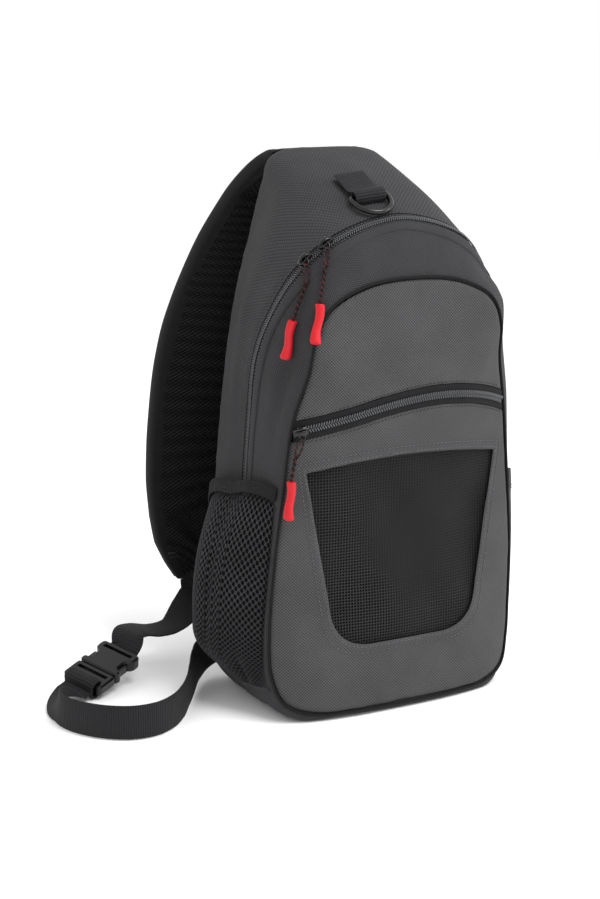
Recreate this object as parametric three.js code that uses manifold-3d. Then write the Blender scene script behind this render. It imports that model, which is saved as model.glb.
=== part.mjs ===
// Fishing tackle sling bag, standing on its base.
// Millimetres, +Z up, +X to the right of someone who faces the front, front towards -Y.
// The origin is on the base, on the centre line, below the middle of the main zip.

import * as THREE from 'three';
import { mergeVertices } from 'three/addons/utils/BufferGeometryUtils.js';
import Module from 'manifold-3d';

// Driving dimensions

const bagHeight = 402;
const halfWidth = 103;
const frontDepth = 75;
const backDepth = 50;
const cloth = 2;
const gap = 0.3;
const loopSteps = 50;
const gussetBulge = 8;
const backDome = 4;

const mainZipWidth = 11;
const mainCoilWidth = 4.6;
const coilThickness = 1.8;
const tapeThickness = 1.2;

const dividerRecess = 6;
const panelThickness = 1.6;
const panelDome = 3;
const panelInset = 0.98;
const pipingRadius = 1.3;

const frontZipHeight = 230;
const frontZipRise = 18;
const frontZipLean = 12;
const frontZipBand = 15;
const frontCoilWidth = 5.6;

const windowTop = 191;
const windowRise = 7;
const windowBottom = 54;
const windowTopHalf = 79;
const windowBottomHalf = 60;
const windowCorner = 32;
const windowMargin = 5;
const meshThickness = 1;

const pocketNet = 1.4;
const leftPocketBulge = 23;
const rightPocketBulge = 10;
const bandThickness = 2.4;

const strapWidth = 86;
const strapThickness = 7;
const liningThickness = 2;
const bindingWidth = 4;
const strapLeft = 121;
const strapStandOff = 63;

const webbingWidth = 25;
const webbingThickness = 1.6;
const tabWidth = 22;

const ringWire = 2;
const ringWidth = 32;
const ringLength = 24;
const ringClearance = 0.5;

const buckleWidth = 35;
const socketLength = 30;
const plugLength = 19;
const buckleThickness = 10;
const barSize = 4;

const pullCordRadius = 1.1;
const tipRadius = 3.5;

// Materials

const grey = (name, color, roughness, metalness = 0) =>
  Object.assign(new THREE.MeshStandardMaterial({ color, roughness, metalness }), { name });
const greyCloth = grey('grey_cloth', 0x56575a, 0.9);
const sideCloth = grey('side_cloth', 0x4a494d, 0.9);
const blackNet = grey('black_net', 0x1e1e20, 0.85);
const greyNet = grey('grey_net', 0x3c3b3e, 0.85);
const blackWeb = grey('black_webbing', 0x17171a, 0.8);
const blackTape = grey('zip_tape', 0x1a1a1c, 0.85);
const coilPlastic = grey('zip_coil', 0x3a3b3e, 0.35, 0.4);
const blackPlastic = grey('black_plastic', 0x121214, 0.4);
const blackMetal = grey('black_metal', 0x1c1c1f, 0.3, 0.7);
const redRubber = grey('red_rubber', 0xd9262e, 0.5);
const blackCord = grey('pull_cord', 0x2a1416, 0.8);

const bag = new THREE.Group();

function add(name, geometry, material) {
  const mesh = new THREE.Mesh(geometry, material);
  mesh.name = name;
  bag.add(mesh);
  return mesh;
}

// Closed solids from open sheets

const vector = (x, y, z) => new THREE.Vector3(x, y, z);

function indexed(points, triangles) {
  const geometry = new THREE.BufferGeometry();
  geometry.setAttribute('position', new THREE.Float32BufferAttribute(points.flatMap((p) => p.toArray()), 3));
  geometry.setIndex(triangles.flat());
  return geometry;
}

function sheetNormals(points, triangles) {
  const normals = points.map(() => vector(0, 0, 0));
  for (const [a, b, c] of triangles) {
    const face = points[b].clone().sub(points[a]).cross(points[c].clone().sub(points[a]));
    for (const corner of [a, b, c]) normals[corner].add(face);
  }
  return normals.map((normal) => normal.normalize());
}

// A closed solid between two sheets with the same triangles.
function between(front, back) {
  const count = front.points.length;
  const faces = [...front.triangles, ...back.triangles.map(([a, b, c]) => [a + count, c + count, b + count])];
  const edges = new Set(front.triangles.flatMap(([a, b, c]) => [`${a},${b}`, `${b},${c}`, `${c},${a}`]));
  for (const edge of edges) {
    const [a, b] = edge.split(',').map(Number);
    if (!edges.has(`${b},${a}`)) faces.push([b, a, a + count], [b, a + count, b + count]);
  }
  return indexed([...front.points, ...back.points], faces);
}

// The sheet's own side is the outside; the wall grows inwards from it.
function thicken({ points, triangles }, thickness) {
  const normals = sheetNormals(points, triangles);
  const inner = points.map((p, i) => p.clone().addScaledVector(normals[i], -thickness));
  return between({ points, triangles }, { points: inner, triangles });
}

// Rows of points, each as long as the next; `wrap` joins a row's ends and `cap` closes the last row.
function sheet(rows, { wrap = false, cap = false } = {}) {
  const width = rows[0].length;
  const points = rows.flat();
  const triangles = [];
  const last = wrap ? width : width - 1;
  for (let r = 0; r + 1 < rows.length; r += 1) {
    for (let c = 0; c < last; c += 1) {
      const a = r * width + c;
      const b = r * width + ((c + 1) % width);
      triangles.push([a, b, b + width], [a, b + width, a + width]);
    }
  }
  if (cap) {
    const ring = (rows.length - 1) * width;
    const centre = points.length;
    const sum = rows.at(-1).reduce((total, p) => total.add(p), vector(0, 0, 0));
    points.push(sum.divideScalar(width));
    for (let c = 0; c < width; c += 1) triangles.push([ring + c, ring + ((c + 1) % width), centre]);
  }
  return { points, triangles };
}

const flipped = ({ points, triangles }) => ({ points, triangles: triangles.map(([a, b, c]) => [a, c, b]) });

function tube(points, radius, sides, steps) {
  const curve = new THREE.CatmullRomCurve3(points, false, 'centripetal');
  const section = new THREE.Shape();
  for (let i = 0; i < sides; i += 1) {
    const turn = (2 * Math.PI * i) / sides;
    const [x, y] = [radius * Math.cos(turn), radius * Math.sin(turn)];
    if (i === 0) section.moveTo(x, y);
    else section.lineTo(x, y);
  }
  section.closePath();
  return new THREE.ExtrudeGeometry(section, { steps, bevelEnabled: false, extrudePath: curve });
}

// Joins and cuts

const wasm = await Module();
wasm.setup();

function toSolid(geometry) {
  const bare = geometry.clone();
  bare.deleteAttribute('normal');
  bare.deleteAttribute('uv');
  const merged = mergeVertices(bare, 1e-4);
  const mesh = new wasm.Mesh({
    numProp: 3,
    vertProperties: new Float32Array(merged.attributes.position.array),
    triVerts: new Uint32Array(merged.index.array),
  });
  return new wasm.Manifold(mesh);
}

function toGeometry(solid) {
  const { vertProperties, triVerts } = solid.getMesh();
  const geometry = new THREE.BufferGeometry();
  geometry.setAttribute('position', new THREE.BufferAttribute(new Float32Array(vertProperties), 3));
  geometry.setIndex(new THREE.BufferAttribute(new Uint32Array(triVerts), 1));
  return geometry;
}

function block(x, y, z, sizeX, sizeY, sizeZ) {
  return toSolid(new THREE.BoxGeometry(sizeX, sizeY, sizeZ).translate(x, y, z));
}

// Three outlines of the bag, half of each, from the middle of the base to the middle of the top.
// Shares of halfWidth (across), frontDepth (forward) and bagHeight (up). `left` and `right` are
// shares of gussetBulge, the swell of the side between two outlines.

const outlines = [
  { seam: [0.0, 1.0, 0.01], zip: [0.0, 0.107, 0.0], back: [0.0, 0.008], left: 0.8, right: 0.8, band: 0 },
  { seam: [0.4, 0.985, 0.01], zip: [0.4, 0.107, 0.0], back: [0.4, 0.008], left: 0.8, right: 0.8, band: 0 },
  { seam: [0.73, 0.925, 0.015], zip: [0.77, 0.107, 0.003], back: [0.74, 0.012], left: 0.9, right: 0.8, band: 0 },
  { seam: [0.91, 0.84, 0.036], zip: [0.93, 0.107, 0.022], back: [0.9, 0.037], left: 1.1, right: 0.5, band: 0 },
  { seam: [0.985, 0.77, 0.085], zip: [0.995, 0.107, 0.072], back: [0.955, 0.095], left: 0.7, right: 0.5, band: 0 },
  { seam: [1.0, 0.76, 0.155], zip: [1.0, 0.107, 0.15], back: [0.955, 0.17], left: 0.4, right: 0.9, band: 0 },
  { seam: [0.98, 0.8, 0.275], zip: [0.95, 0.107, 0.28], back: [0.91, 0.325], left: 0.4, right: 1.1, band: 0 },
  { seam: [0.92, 0.84, 0.42], zip: [0.92, 0.107, 0.41], back: [0.855, 0.485], left: 0.4, right: 1.3, band: 1 },
  { seam: [0.855, 0.88, 0.55], zip: [0.893, 0.133, 0.532], back: [0.796, 0.612], left: 0.5, right: 1.7, band: 1 },
  { seam: [0.77, 0.97, 0.635], zip: [0.874, 0.2, 0.64], back: [0.69, 0.76], left: 0.5, right: 1.8, band: 1 },
  { seam: [0.74, 1.04, 0.7], zip: [0.835, 0.39, 0.716], back: [0.59, 0.858], left: 0.5, right: 1.9, band: 1 },
  { seam: [0.64, 1.07, 0.747], zip: [0.738, 0.66, 0.796], back: [0.505, 0.933], left: 0.5, right: 0.5, band: 1 },
  { seam: [0.37, 1.08, 0.781], zip: [0.505, 0.808, 0.853], back: [0.427, 0.988], left: 0.5, right: 0.4, band: 1 },
  { seam: [0.0, 1.08, 0.791], zip: [0.0, 0.828, 0.887], back: [0.0, 1.0], left: 0.7, right: 0.7, band: 1 },
];
const halfRows = outlines.length - 1;

// Folds and dents of the side: place round the outline, place between the outlines, depth, spread.
const folds = [
  { side: -1, row: 8.6, along: 0.72, depth: -3.5, spreadRow: 0.9, spreadAlong: 0.12 },
  { side: -1, row: 10.6, along: 0.55, depth: -3, spreadRow: 0.5, spreadAlong: 0.2 },
  { side: -1, row: 8.8, along: -0.45, depth: 2.5, spreadRow: 1.2, spreadAlong: 0.12 },
  { side: 1, row: 11.2, along: 0.5, depth: -3, spreadRow: 0.5, spreadAlong: 0.18 },
  { side: 1, row: 9.4, along: 0.5, depth: -2.5, spreadRow: 0.6, spreadAlong: 0.25 },
  { side: 1, row: 11.0, along: -0.5, depth: 3, spreadRow: 0.8, spreadAlong: 0.3 },
  { side: -1, row: 11.0, along: -0.5, depth: 3, spreadRow: 0.8, spreadAlong: 0.3 },
];

function outlineCurve(read) {
  const right = outlines.map((row) => read(row, 1));
  const left = outlines.slice(1, -1).reverse().map((row) => read(row, -1));
  return new THREE.CatmullRomCurve3([...right, ...left], true, 'centripetal');
}

const seamCurve = outlineCurve(({ seam: [across, forward, up] }, side) =>
  vector(side * across * halfWidth, -forward * frontDepth, up * bagHeight));
const zipCurve = outlineCurve(({ zip: [across, forward, up] }, side) =>
  vector(side * across * halfWidth, -forward * frontDepth, up * bagHeight));
const backCurve = outlineCurve(({ back: [across, up] }, side) =>
  vector(side * across * halfWidth, backDepth, up * bagHeight));

// A row number from 0 (base) to halfRows (top) on the right (side 1) or the left (side -1).
const place = (row, side) => (side > 0 ? row : 2 * halfRows - row) / (2 * halfRows);

function rowValue(t, read) {
  const turned = t * 2 * halfRows;
  const row = Math.min(turned, 2 * halfRows - turned);
  const low = Math.min(Math.floor(row), halfRows - 1);
  const side = turned <= halfRows ? 1 : -1;
  return THREE.MathUtils.lerp(read(outlines[low], side), read(outlines[low + 1], side), row - low);
}

function foldDepth(t, along) {
  const turned = t * 2 * halfRows;
  const side = turned <= halfRows ? 1 : -1;
  const row = Math.min(turned, 2 * halfRows - turned);
  return folds.reduce((sum, fold) => {
    if (fold.side !== side) return sum;
    const far = ((row - fold.row) / fold.spreadRow) ** 2 + ((along - fold.along) / fold.spreadAlong) ** 2;
    return sum + fold.depth * Math.exp(-far);
  }, 0);
}

// The sides swell away from the upright middle line, which starts a little above the base.
const lowMiddle = 0.15;

// The bag's skin: `along` runs from -1 at the back outline over 0 at the zip to 1 at the front seam.
function skin(t, along) {
  const from = zipCurve.getPoint(t);
  const to = (along < 0 ? backCurve : seamCurve).getPoint(t);
  const share = Math.abs(along);
  const point = from.clone().lerp(to, share);
  const swell = gussetBulge * rowValue(t, (row, side) => (side > 0 ? row.right : row.left));
  const lift = (swell + foldDepth(t, along)) * Math.sin(Math.PI * share) ** 0.8;
  const middle = vector(0, point.y, THREE.MathUtils.clamp(point.z, lowMiddle * bagHeight, bagHeight / 2));
  const out = point.clone().sub(middle).normalize();
  point.addScaledVector(out, lift);
  point.z = Math.max(point.z, 0);
  return point;
}

function skinNormal(t, along) {
  const step = 0.004;
  const wide = 0.02;
  const round = skin(t + step, along).sub(skin(t - step, along));
  const low = Math.max(along - wide, -1);
  const high = Math.min(along + wide, 1);
  return skin(t, high).sub(skin(t, low)).cross(round).normalize().negate();
}

function ring(along) {
  return Array.from({ length: loopSteps }, (_, i) => skin(i / loopSteps, along));
}

// The edge of a shell beside the zip, moved away from the zip line where the zip is open.
function zipEdge(t, direction, clearance) {
  const target = direction < 0 ? backCurve : seamCurve;
  const reach = zipCurve.getPoint(t).distanceTo(target.getPoint(t));
  const half = (mainZipWidth / 2) * rowValue(t, (row) => row.band) + clearance;
  return skin(t, (direction * half) / reach);
}

const edgeRing = (direction) =>
  Array.from({ length: loopSteps }, (_, i) => zipEdge(i / loopSteps, direction, gap));

// Front face: how far forward it stands at a place across and up

const frontMiddle = [
  { up: 0.0, forward: 1.0 },
  { up: 0.15, forward: 0.98 },
  { up: 0.32, forward: 0.95 },
  { up: 0.55, forward: 0.97 },
  { up: 0.7, forward: 1.06 },
  { up: 0.8, forward: 1.09 },
];
const faceCentre = 0.36;

function middleForward(z) {
  const up = THREE.MathUtils.clamp(z / bagHeight, frontMiddle[0].up, frontMiddle.at(-1).up - 0.001);
  const i = frontMiddle.findIndex((row, index) => up < frontMiddle[index + 1].up);
  const [low, high] = [frontMiddle[i], frontMiddle[i + 1]];
  return frontDepth * THREE.MathUtils.mapLinear(up, low.up, high.up, low.forward, high.forward);
}

// A ring of the front face, `share` of the way from its centre to the seam.
function faceRing(share, outset) {
  const centre = vector(0, 0, faceCentre * bagHeight);
  return Array.from({ length: loopSteps }, (_, i) => {
    const edge = seamCurve.getPoint(i / loopSteps);
    const x = edge.x * share;
    const z = THREE.MathUtils.lerp(centre.z, edge.z, share);
    const depth = THREE.MathUtils.lerp(middleForward(z), -edge.y, share ** 3);
    return vector(x, -depth - outset(share, z), z);
  });
}

// Shells

function frontShell() {
  const recess = (share) => -dividerRecess * Math.min(1, (1 - share) / (1 - panelInset) / 3);
  const walls = [0.4, 0.8, 1].map((along) => ring(along));
  const face = [0.93, 0.86, 0.55].map((share) => faceRing(share, recess));
  return thicken(sheet([edgeRing(1), ...walls, ...face], { wrap: true, cap: true }), cloth);
}

function rearShell() {
  const walls = [-0.3, -0.7, -1].map((along) => ring(along));
  const inset = [0.94, 0.8, 0.45].map((share) =>
    ring(-1).map((p) => vector(p.x * share, backDepth + backDome * (1 - share ** 2),
      THREE.MathUtils.lerp(bagHeight / 2, p.z, share))));
  return thicken(flipped(sheet([edgeRing(-1), ...walls, ...inset], { wrap: true, cap: true })), cloth);
}

add('front_shell', frontShell(), sideCloth);
add('rear_shell', rearShell(), sideCloth);

// Main zip

const zipEndRow = 6.35;

function zipStrip(halfBand, lift, thickness) {
  const start = place(zipEndRow, 1);
  const finish = place(zipEndRow, -1);
  const steps = 38;
  const rows = [-1, 0, 1].map((side) =>
    Array.from({ length: steps + 1 }, (_, i) => {
      const t = THREE.MathUtils.lerp(start, finish, i / steps);
      const width = halfBand(t) * side;
      const target = side < 0 ? backCurve : seamCurve;
      const reach = zipCurve.getPoint(t).distanceTo(target.getPoint(t));
      return skin(t, width / reach).addScaledVector(skinNormal(t, 0), lift);
    }));
  return thicken(sheet(rows), thickness);
}

const openHalf = (t) => (mainZipWidth / 2) * rowValue(t, (row) => row.band);
add('main_zip_tape', zipStrip((t) => openHalf(t) - 3 * gap, -0.2, tapeThickness), blackTape);
add('main_zip_coil',
  zipStrip((t) => Math.min(mainCoilWidth / 2, openHalf(t) - 4 * gap), coilThickness + 3 * gap - 0.2, coilThickness),
  coilPlastic);

// Front panel, pocket panel, window and front zip are cut from one domed layer

const dome = (share, z) => {
  const low = THREE.MathUtils.smoothstep(z, 0, 0.2 * bagHeight);
  return panelDome * (1 - share ** 2) * (0.35 + 0.65 * low);
};

function faceLayer(outset, thickness) {
  const shares = [panelInset, 0.88, 0.68, 0.38];
  const rings = (extra) => shares.map((share) => faceRing(share, (s, z) => dome(s, z) + extra));
  const closed = { wrap: true, cap: true };
  return toSolid(between(sheet(rings(outset + thickness), closed), sheet(rings(outset), closed)));
}

// A prism through the front face from an outline drawn in x and z.
function cutter(shape) {
  const depth = 4 * frontDepth;
  const geometry = new THREE.ExtrudeGeometry(shape, { depth, bevelEnabled: false, curveSegments: 5 });
  geometry.rotateX(Math.PI / 2);
  return toSolid(geometry);
}

function outlineShape(points) {
  const shape = new THREE.Shape();
  points.forEach(([x, z], i) => (i === 0 ? shape.moveTo(x, z) : shape.lineTo(x, z)));
  shape.closePath();
  return shape;
}

// The front zip arches, and its crest lies on the right of the middle.
function zipLine(x) {
  const share = x / halfWidth;
  return frontZipHeight - frontZipRise * share ** 2 + frontZipLean * share * (1 - share ** 2);
}

const bandSteps = 14;

// The band of the front face from `low` to `high` millimetres above the front zip's line.
function zipBand(low, high) {
  const across = Array.from({ length: bandSteps + 1 }, (_, i) => -1.2 * halfWidth + (2.4 * halfWidth * i) / bandSteps);
  const bottom = across.map((x) => [x, zipLine(x) + low]);
  const top = across.map((x) => [x, zipLine(x) + high]).reverse();
  return cutter(outlineShape([...bottom, ...top]));
}

function windowShape(margin) {
  const [top, bottom] = [windowTop + margin, windowBottom - margin];
  const [high, low] = [windowTopHalf + margin, windowBottomHalf + margin];
  const shoulder = top - windowRise;
  const shape = new THREE.Shape();
  shape.moveTo(-low + windowCorner, bottom);
  shape.lineTo(low - windowCorner, bottom);
  shape.quadraticCurveTo(low, bottom, low + 2, bottom + windowCorner);
  shape.lineTo(high, shoulder);
  shape.quadraticCurveTo(0, top + windowRise, -high, shoulder);
  shape.lineTo(-low - 2, bottom + windowCorner);
  shape.quadraticCurveTo(-low, bottom, -low + windowCorner, bottom);
  return shape;
}

const halfBand = frontZipBand / 2;
const layer = faceLayer(gap, panelThickness);
add('front_panel', toGeometry(layer.intersect(zipBand(halfBand, bagHeight))), greyCloth);
add('pocket_panel',
  toGeometry(layer.intersect(zipBand(-bagHeight, -halfBand)).subtract(cutter(windowShape(0)))), greyCloth);
add('front_zip_tape',
  toGeometry(faceLayer(gap, tapeThickness).intersect(zipBand(gap - halfBand, halfBand - gap))), blackTape);
add('front_zip_coil',
  toGeometry(faceLayer(2 * gap + tapeThickness, coilThickness)
    .intersect(zipBand(-frontCoilWidth / 2, frontCoilWidth / 2))), coilPlastic);
add('window_mesh',
  toGeometry(faceLayer(-meshThickness, meshThickness).intersect(cutter(windowShape(windowMargin)))), blackNet);

// Piping along the front seam, its ends meeting under the base

function seamPiping() {
  const ends = 0.002;
  const steps = 60;
  const forward = pipingRadius + gap;
  const points = Array.from({ length: loopSteps + 1 }, (_, i) => {
    const t = THREE.MathUtils.lerp(ends, 1 - ends, i / loopSteps);
    return seamCurve.getPoint(t).add(vector(0, -forward, 0));
  });
  return tube(points, pipingRadius, 6, steps);
}

add('seam_piping', seamPiping(), blackTape);

// Side pockets: a sheet over the side from the back outline to the front seam

const pocketAcross = [
  { share: 0.0, swell: 0.0 },
  { share: 0.12, swell: 0.55 },
  { share: 0.3, swell: 0.95 },
  { share: 0.5, swell: 1.0 },
  { share: 0.68, swell: 0.8 },
  { share: 0.84, swell: 0.42 },
  { share: 1.0, swell: 0.0 },
];
const leftPocketRows = [
  { share: 0.0, swell: 0.05 },
  { share: 0.12, swell: 0.38 },
  { share: 0.28, swell: 0.88 },
  { share: 0.46, swell: 1.0 },
  { share: 0.68, swell: 1.0 },
  { share: 0.88, swell: 0.7 },
  { share: 1.0, swell: 0.4 },
];
const rightPocketRows = [
  { share: 0.0, swell: 0.1 },
  { share: 0.15, swell: 0.7 },
  { share: 0.5, swell: 1.0 },
  { share: 0.85, swell: 0.9 },
  { share: 1.0, swell: 0.8 },
];
const pocketBack = -0.96;
const pocketFront = 0.93;

// `low` and `high` give the outline rows of an edge: [at the back, at the front, rise in the middle].
function edgeRow([atBack, atFront, rise], share) {
  return THREE.MathUtils.lerp(atBack, atFront, share) + 4 * rise * share * (1 - share);
}

function pocketGrid(side, rows, bulge, low, high, base) {
  return rows.map((row) => pocketAcross.map((column) => {
    const along = THREE.MathUtils.lerp(pocketBack, pocketFront, column.share);
    const from = edgeRow(low, column.share);
    const to = edgeRow(high, column.share);
    const t = place(THREE.MathUtils.lerp(from, to, row.share), side);
    return skin(t, along).addScaledVector(skinNormal(t, along), base + bulge * row.swell * column.swell);
  }));
}

const facing = (side, grid) => (side > 0 ? sheet(grid) : flipped(sheet(grid)));
const netSeat = 0.7;
const netBase = pocketNet - netSeat;
const leftLow = [3.6, 3.6, 0];
const leftHigh = [6.15, 6.75, 0.16];
const leftTop = [6.38, 7.0, 0.16];
const rightLow = [3.8, 3.8, 0];
const rightHigh = [6.5, 6.95, 0];
const bandSeam = 0.012;
const bandDrawIn = 0.92;

add('left_pocket',
  thicken(facing(-1, pocketGrid(-1, leftPocketRows, leftPocketBulge, leftLow, leftHigh, netBase)), pocketNet),
  greyNet);

// The elastic edge of the left pocket, above its net

function pocketBand() {
  const edge = leftPocketRows.at(-1).swell;
  const rows = [{ share: 0, swell: edge }, { share: 1, swell: edge * bandDrawIn }];
  const start = [leftHigh[0] + bandSeam, leftHigh[1] + bandSeam, leftHigh[2]];
  return thicken(facing(-1, pocketGrid(-1, rows, leftPocketBulge, start, leftTop, bandThickness + gap)), bandThickness);
}

add('left_pocket_band', pocketBand(), blackWeb);
add('right_pocket',
  thicken(facing(1, pocketGrid(1, rightPocketRows, rightPocketBulge, rightLow, rightHigh, netBase)), pocketNet),
  sideCloth);

// Shoulder strap. Shares of strapLeft (across), strapStandOff (behind the back) and bagHeight (up)
// give its middle line; `width` is a share of strapWidth and `thick` of strapThickness.

const strapRows = [
  { across: 0.0, behind: 0.045, up: 0.992, width: 0.88, thick: 0.45 },
  { across: 0.0, behind: 0.16, up: 0.99, width: 0.9, thick: 0.6 },
  { across: 0.0, behind: 0.31, up: 0.978, width: 0.92, thick: 0.8 },
  { across: 0.04, behind: 0.48, up: 0.955, width: 0.95, thick: 0.95 },
  { across: 0.125, behind: 0.66, up: 0.911, width: 0.97, thick: 1.0 },
  { across: 0.265, behind: 0.82, up: 0.834, width: 0.98, thick: 1.0 },
  { across: 0.39, behind: 0.92, up: 0.747, width: 0.99, thick: 1.0 },
  { across: 0.488, behind: 0.97, up: 0.667, width: 1.0, thick: 1.0 },
  { across: 0.55, behind: 1.0, up: 0.59, width: 0.99, thick: 1.0 },
  { across: 0.595, behind: 1.0, up: 0.515, width: 0.97, thick: 1.0 },
  { across: 0.635, behind: 0.98, up: 0.438, width: 0.945, thick: 1.0 },
  { across: 0.665, behind: 0.95, up: 0.365, width: 0.905, thick: 1.0 },
  { across: 0.68, behind: 0.9, up: 0.294, width: 0.85, thick: 0.95 },
  { across: 0.69, behind: 0.87, up: 0.241, width: 0.745, thick: 0.85 },
  { across: 0.69, behind: 0.855, up: 0.199, width: 0.57, thick: 0.6 },
  { across: 0.685, behind: 0.855, up: 0.162, width: 0.36, thick: 0.4 },
];

const strapLine = new THREE.CatmullRomCurve3(
  strapRows.map(({ across, behind, up }) =>
    vector(-across * strapLeft, backDepth + behind * strapStandOff, up * bagHeight)),
  false, 'centripetal');

// A strip along a curve: `across(s)` its sideways direction, `from(s)` and `to(s)` its edges on that
// direction and `height(s)` the place of its outer face; the wall grows inwards.
function strip(curve, steps, across, from, to, height, thickness, columns) {
  const outer = [];
  const inner = [];
  for (let i = 0; i <= steps; i += 1) {
    const s = i / steps;
    const forward = curve.getTangent(s);
    const side = across(s).normalize();
    const up = side.clone().cross(forward).normalize();
    const row = Array.from({ length: columns + 1 }, (_, c) =>
      curve.getPoint(s)
        .addScaledVector(side, THREE.MathUtils.lerp(from(s), to(s), c / columns))
        .addScaledVector(up, height(s)));
    outer.push(row);
    inner.push(row.map((p) => p.clone().addScaledVector(up, -thickness(s))));
  }
  return between(sheet(outer), sheet(inner));
}

function strapValue(s, key) {
  const exact = s * (strapRows.length - 1);
  const low = Math.min(Math.floor(exact), strapRows.length - 2);
  return THREE.MathUtils.lerp(strapRows[low][key], strapRows[low + 1][key], exact - low);
}

const strapSteps = 28;
const strapAcross = () => vector(1, 0, 0);
const strapHalf = (s) => (strapWidth / 2) * strapValue(s, 'width');
const padThick = (s) => strapThickness * strapValue(s, 'thick');
const padHalf = (s) => strapHalf(s) - bindingWidth - 3 * gap;

add('strap_pad',
  strip(strapLine, strapSteps, strapAcross, (s) => -padHalf(s), padHalf, (s) => padThick(s) / 2, padThick, 2),
  greyCloth);
add('strap_lining',
  strip(strapLine, strapSteps, strapAcross, (s) => -padHalf(s), padHalf,
    (s) => -padThick(s) / 2 - 2 * gap, () => liningThickness, 2),
  blackNet);

const bindingThick = (s) => padThick(s) + 2 * gap + liningThickness + 1;
const bindingTop = (s) => padThick(s) / 2 + 0.5;
add('strap_binding_left',
  strip(strapLine, strapSteps, strapAcross, (s) => -strapHalf(s), (s) => -strapHalf(s) + bindingWidth,
    bindingTop, bindingThick, 1),
  blackWeb);
add('strap_binding_right',
  strip(strapLine, strapSteps, strapAcross, (s) => strapHalf(s) - bindingWidth, strapHalf,
    bindingTop, bindingThick, 1),
  blackWeb);

// Side-release buckle, tilted on the floor. Its own frame: x along the webbing from the socket to
// the adjuster, y across, z out of its face; placed by its centre and two directions.

const buckleCentre = vector(-180, 68, 15);
const buckleForward = vector(-0.871, -0.441, -0.217).normalize();
const buckleFace = vector(-0.084, -0.302, 0.95);

function buckleFrame() {
  const face = buckleFace.clone().projectOnPlane(buckleForward).normalize();
  const side = face.clone().cross(buckleForward).normalize();
  return new THREE.Matrix4().makeBasis(buckleForward, side, face).setPosition(buckleCentre);
}

const inBuckle = (x, y, z) => vector(x, y, z).applyMatrix4(buckleFrame());
const nearSide = vector(0, 1, 0).transformDirection(buckleFrame());
const farSide = nearSide.clone().negate();

// Where the sides of the socket draw in and widen again, in shares of half its length.
const waistShares = { leave: -0.5, from: 0, to: 0.45, back: 0.7 };
const plateBevel = 1.2;

// A plate with rounded corners, centred on x; between its ends it may narrow to half-width `waist`.
function roundedPlate(length, width, thickness, radius, x, waist = width / 2) {
  const [a, b] = [length / 2, width / 2];
  const { leave, from, to, back } = waistShares;
  const shape = new THREE.Shape();
  shape.moveTo(-a + radius, -b);
  if (waist < b) {
    shape.lineTo(leave * a, -b);
    shape.bezierCurveTo((leave * a) / 2, -b, (leave * a) / 2, -waist, from * a, -waist);
    shape.lineTo(to * a, -waist);
    shape.bezierCurveTo(back * a, -waist, to * a, -b, back * a, -b);
  }
  shape.lineTo(a - radius, -b);
  shape.quadraticCurveTo(a, -b, a, -b + radius);
  shape.lineTo(a, b - radius);
  shape.quadraticCurveTo(a, b, a - radius, b);
  if (waist < b) {
    shape.lineTo(back * a, b);
    shape.bezierCurveTo(to * a, b, back * a, waist, to * a, waist);
    shape.lineTo(from * a, waist);
    shape.bezierCurveTo((leave * a) / 2, waist, (leave * a) / 2, b, leave * a, b);
  }
  shape.lineTo(-a + radius, b);
  shape.quadraticCurveTo(-a, b, -a, b - radius);
  shape.lineTo(-a, -b + radius);
  shape.quadraticCurveTo(-a, -b, -a + radius, -b);
  const geometry = new THREE.ExtrudeGeometry(shape, {
    depth: thickness - 2 * plateBevel, bevelThickness: plateBevel, bevelSize: plateBevel,
    bevelOffset: -plateBevel, bevelSegments: 1, curveSegments: 4,
  });
  return toSolid(geometry.translate(x, 0, plateBevel - thickness / 2));
}

const seatX = 3;
const socketCorner = 4;
const plugCorner = 3;
const socketWaist = 0.36 * buckleWidth;
const prongWidth = 5;
const prongLength = socketLength * 0.7;
const cavityWall = 1.8;
const slotWidth = 3.4;

function socket() {
  const centre = seatX - socketLength / 2;
  const cavityLength = prongLength + 2;
  const cavity = block(seatX - cavityLength / 2 + 0.5, 0, 0, cavityLength + 1,
    buckleWidth - 2 * cavityWall - 3, buckleThickness - 2 * cavityWall);
  const notchLength = socketLength * 0.36;
  let solid = roundedPlate(socketLength, buckleWidth, buckleThickness, socketCorner, centre, socketWaist).subtract(cavity);
  for (const side of [-1, 1]) {
    solid = solid.subtract(block(seatX - prongLength * 0.55, (side * buckleWidth) / 2, 0,
      notchLength, prongWidth * 2.2, buckleThickness - 2 * cavityWall));
  }
  const slot = block(seatX - socketLength + barSize + slotWidth / 2, 0, 0, slotWidth, webbingWidth + 1,
    buckleThickness * 2);
  return toGeometry(solid.subtract(slot)).applyMatrix4(buckleFrame());
}

function plug() {
  const start = seatX + gap;
  const height = buckleThickness * 0.8;
  let solid = roundedPlate(plugLength, buckleWidth, height, plugCorner, start + plugLength / 2);
  for (const bar of [0, 1]) {
    const x = start + plugLength - barSize - slotWidth / 2 - bar * (barSize + slotWidth);
    solid = solid.subtract(block(x, 0, 0, slotWidth, webbingWidth + 2, buckleThickness * 2));
  }
  const inner = buckleThickness - 2 * cavityWall - 2 * ringClearance;
  const prongY = buckleWidth / 2 - cavityWall - 1.5 - ringClearance - prongWidth / 2;
  for (const side of [-1, 1]) {
    solid = solid.add(block(start - prongLength / 2 + 1, side * prongY, 0, prongLength, prongWidth, inner));
    solid = solid.add(block(start - prongLength * 0.55, side * (prongY + 1.5), 0, socketLength * 0.3, prongWidth,
      inner));
  }
  solid = solid.add(block(start - prongLength * 0.3 + 1, 0, 0, prongLength * 0.6, prongWidth, inner));
  return toGeometry(solid).applyMatrix4(buckleFrame());
}

add('buckle_socket', socket(), blackPlastic);
add('buckle_plug', plug(), blackPlastic);

// Webbing folded round the adjuster's end bar

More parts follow.
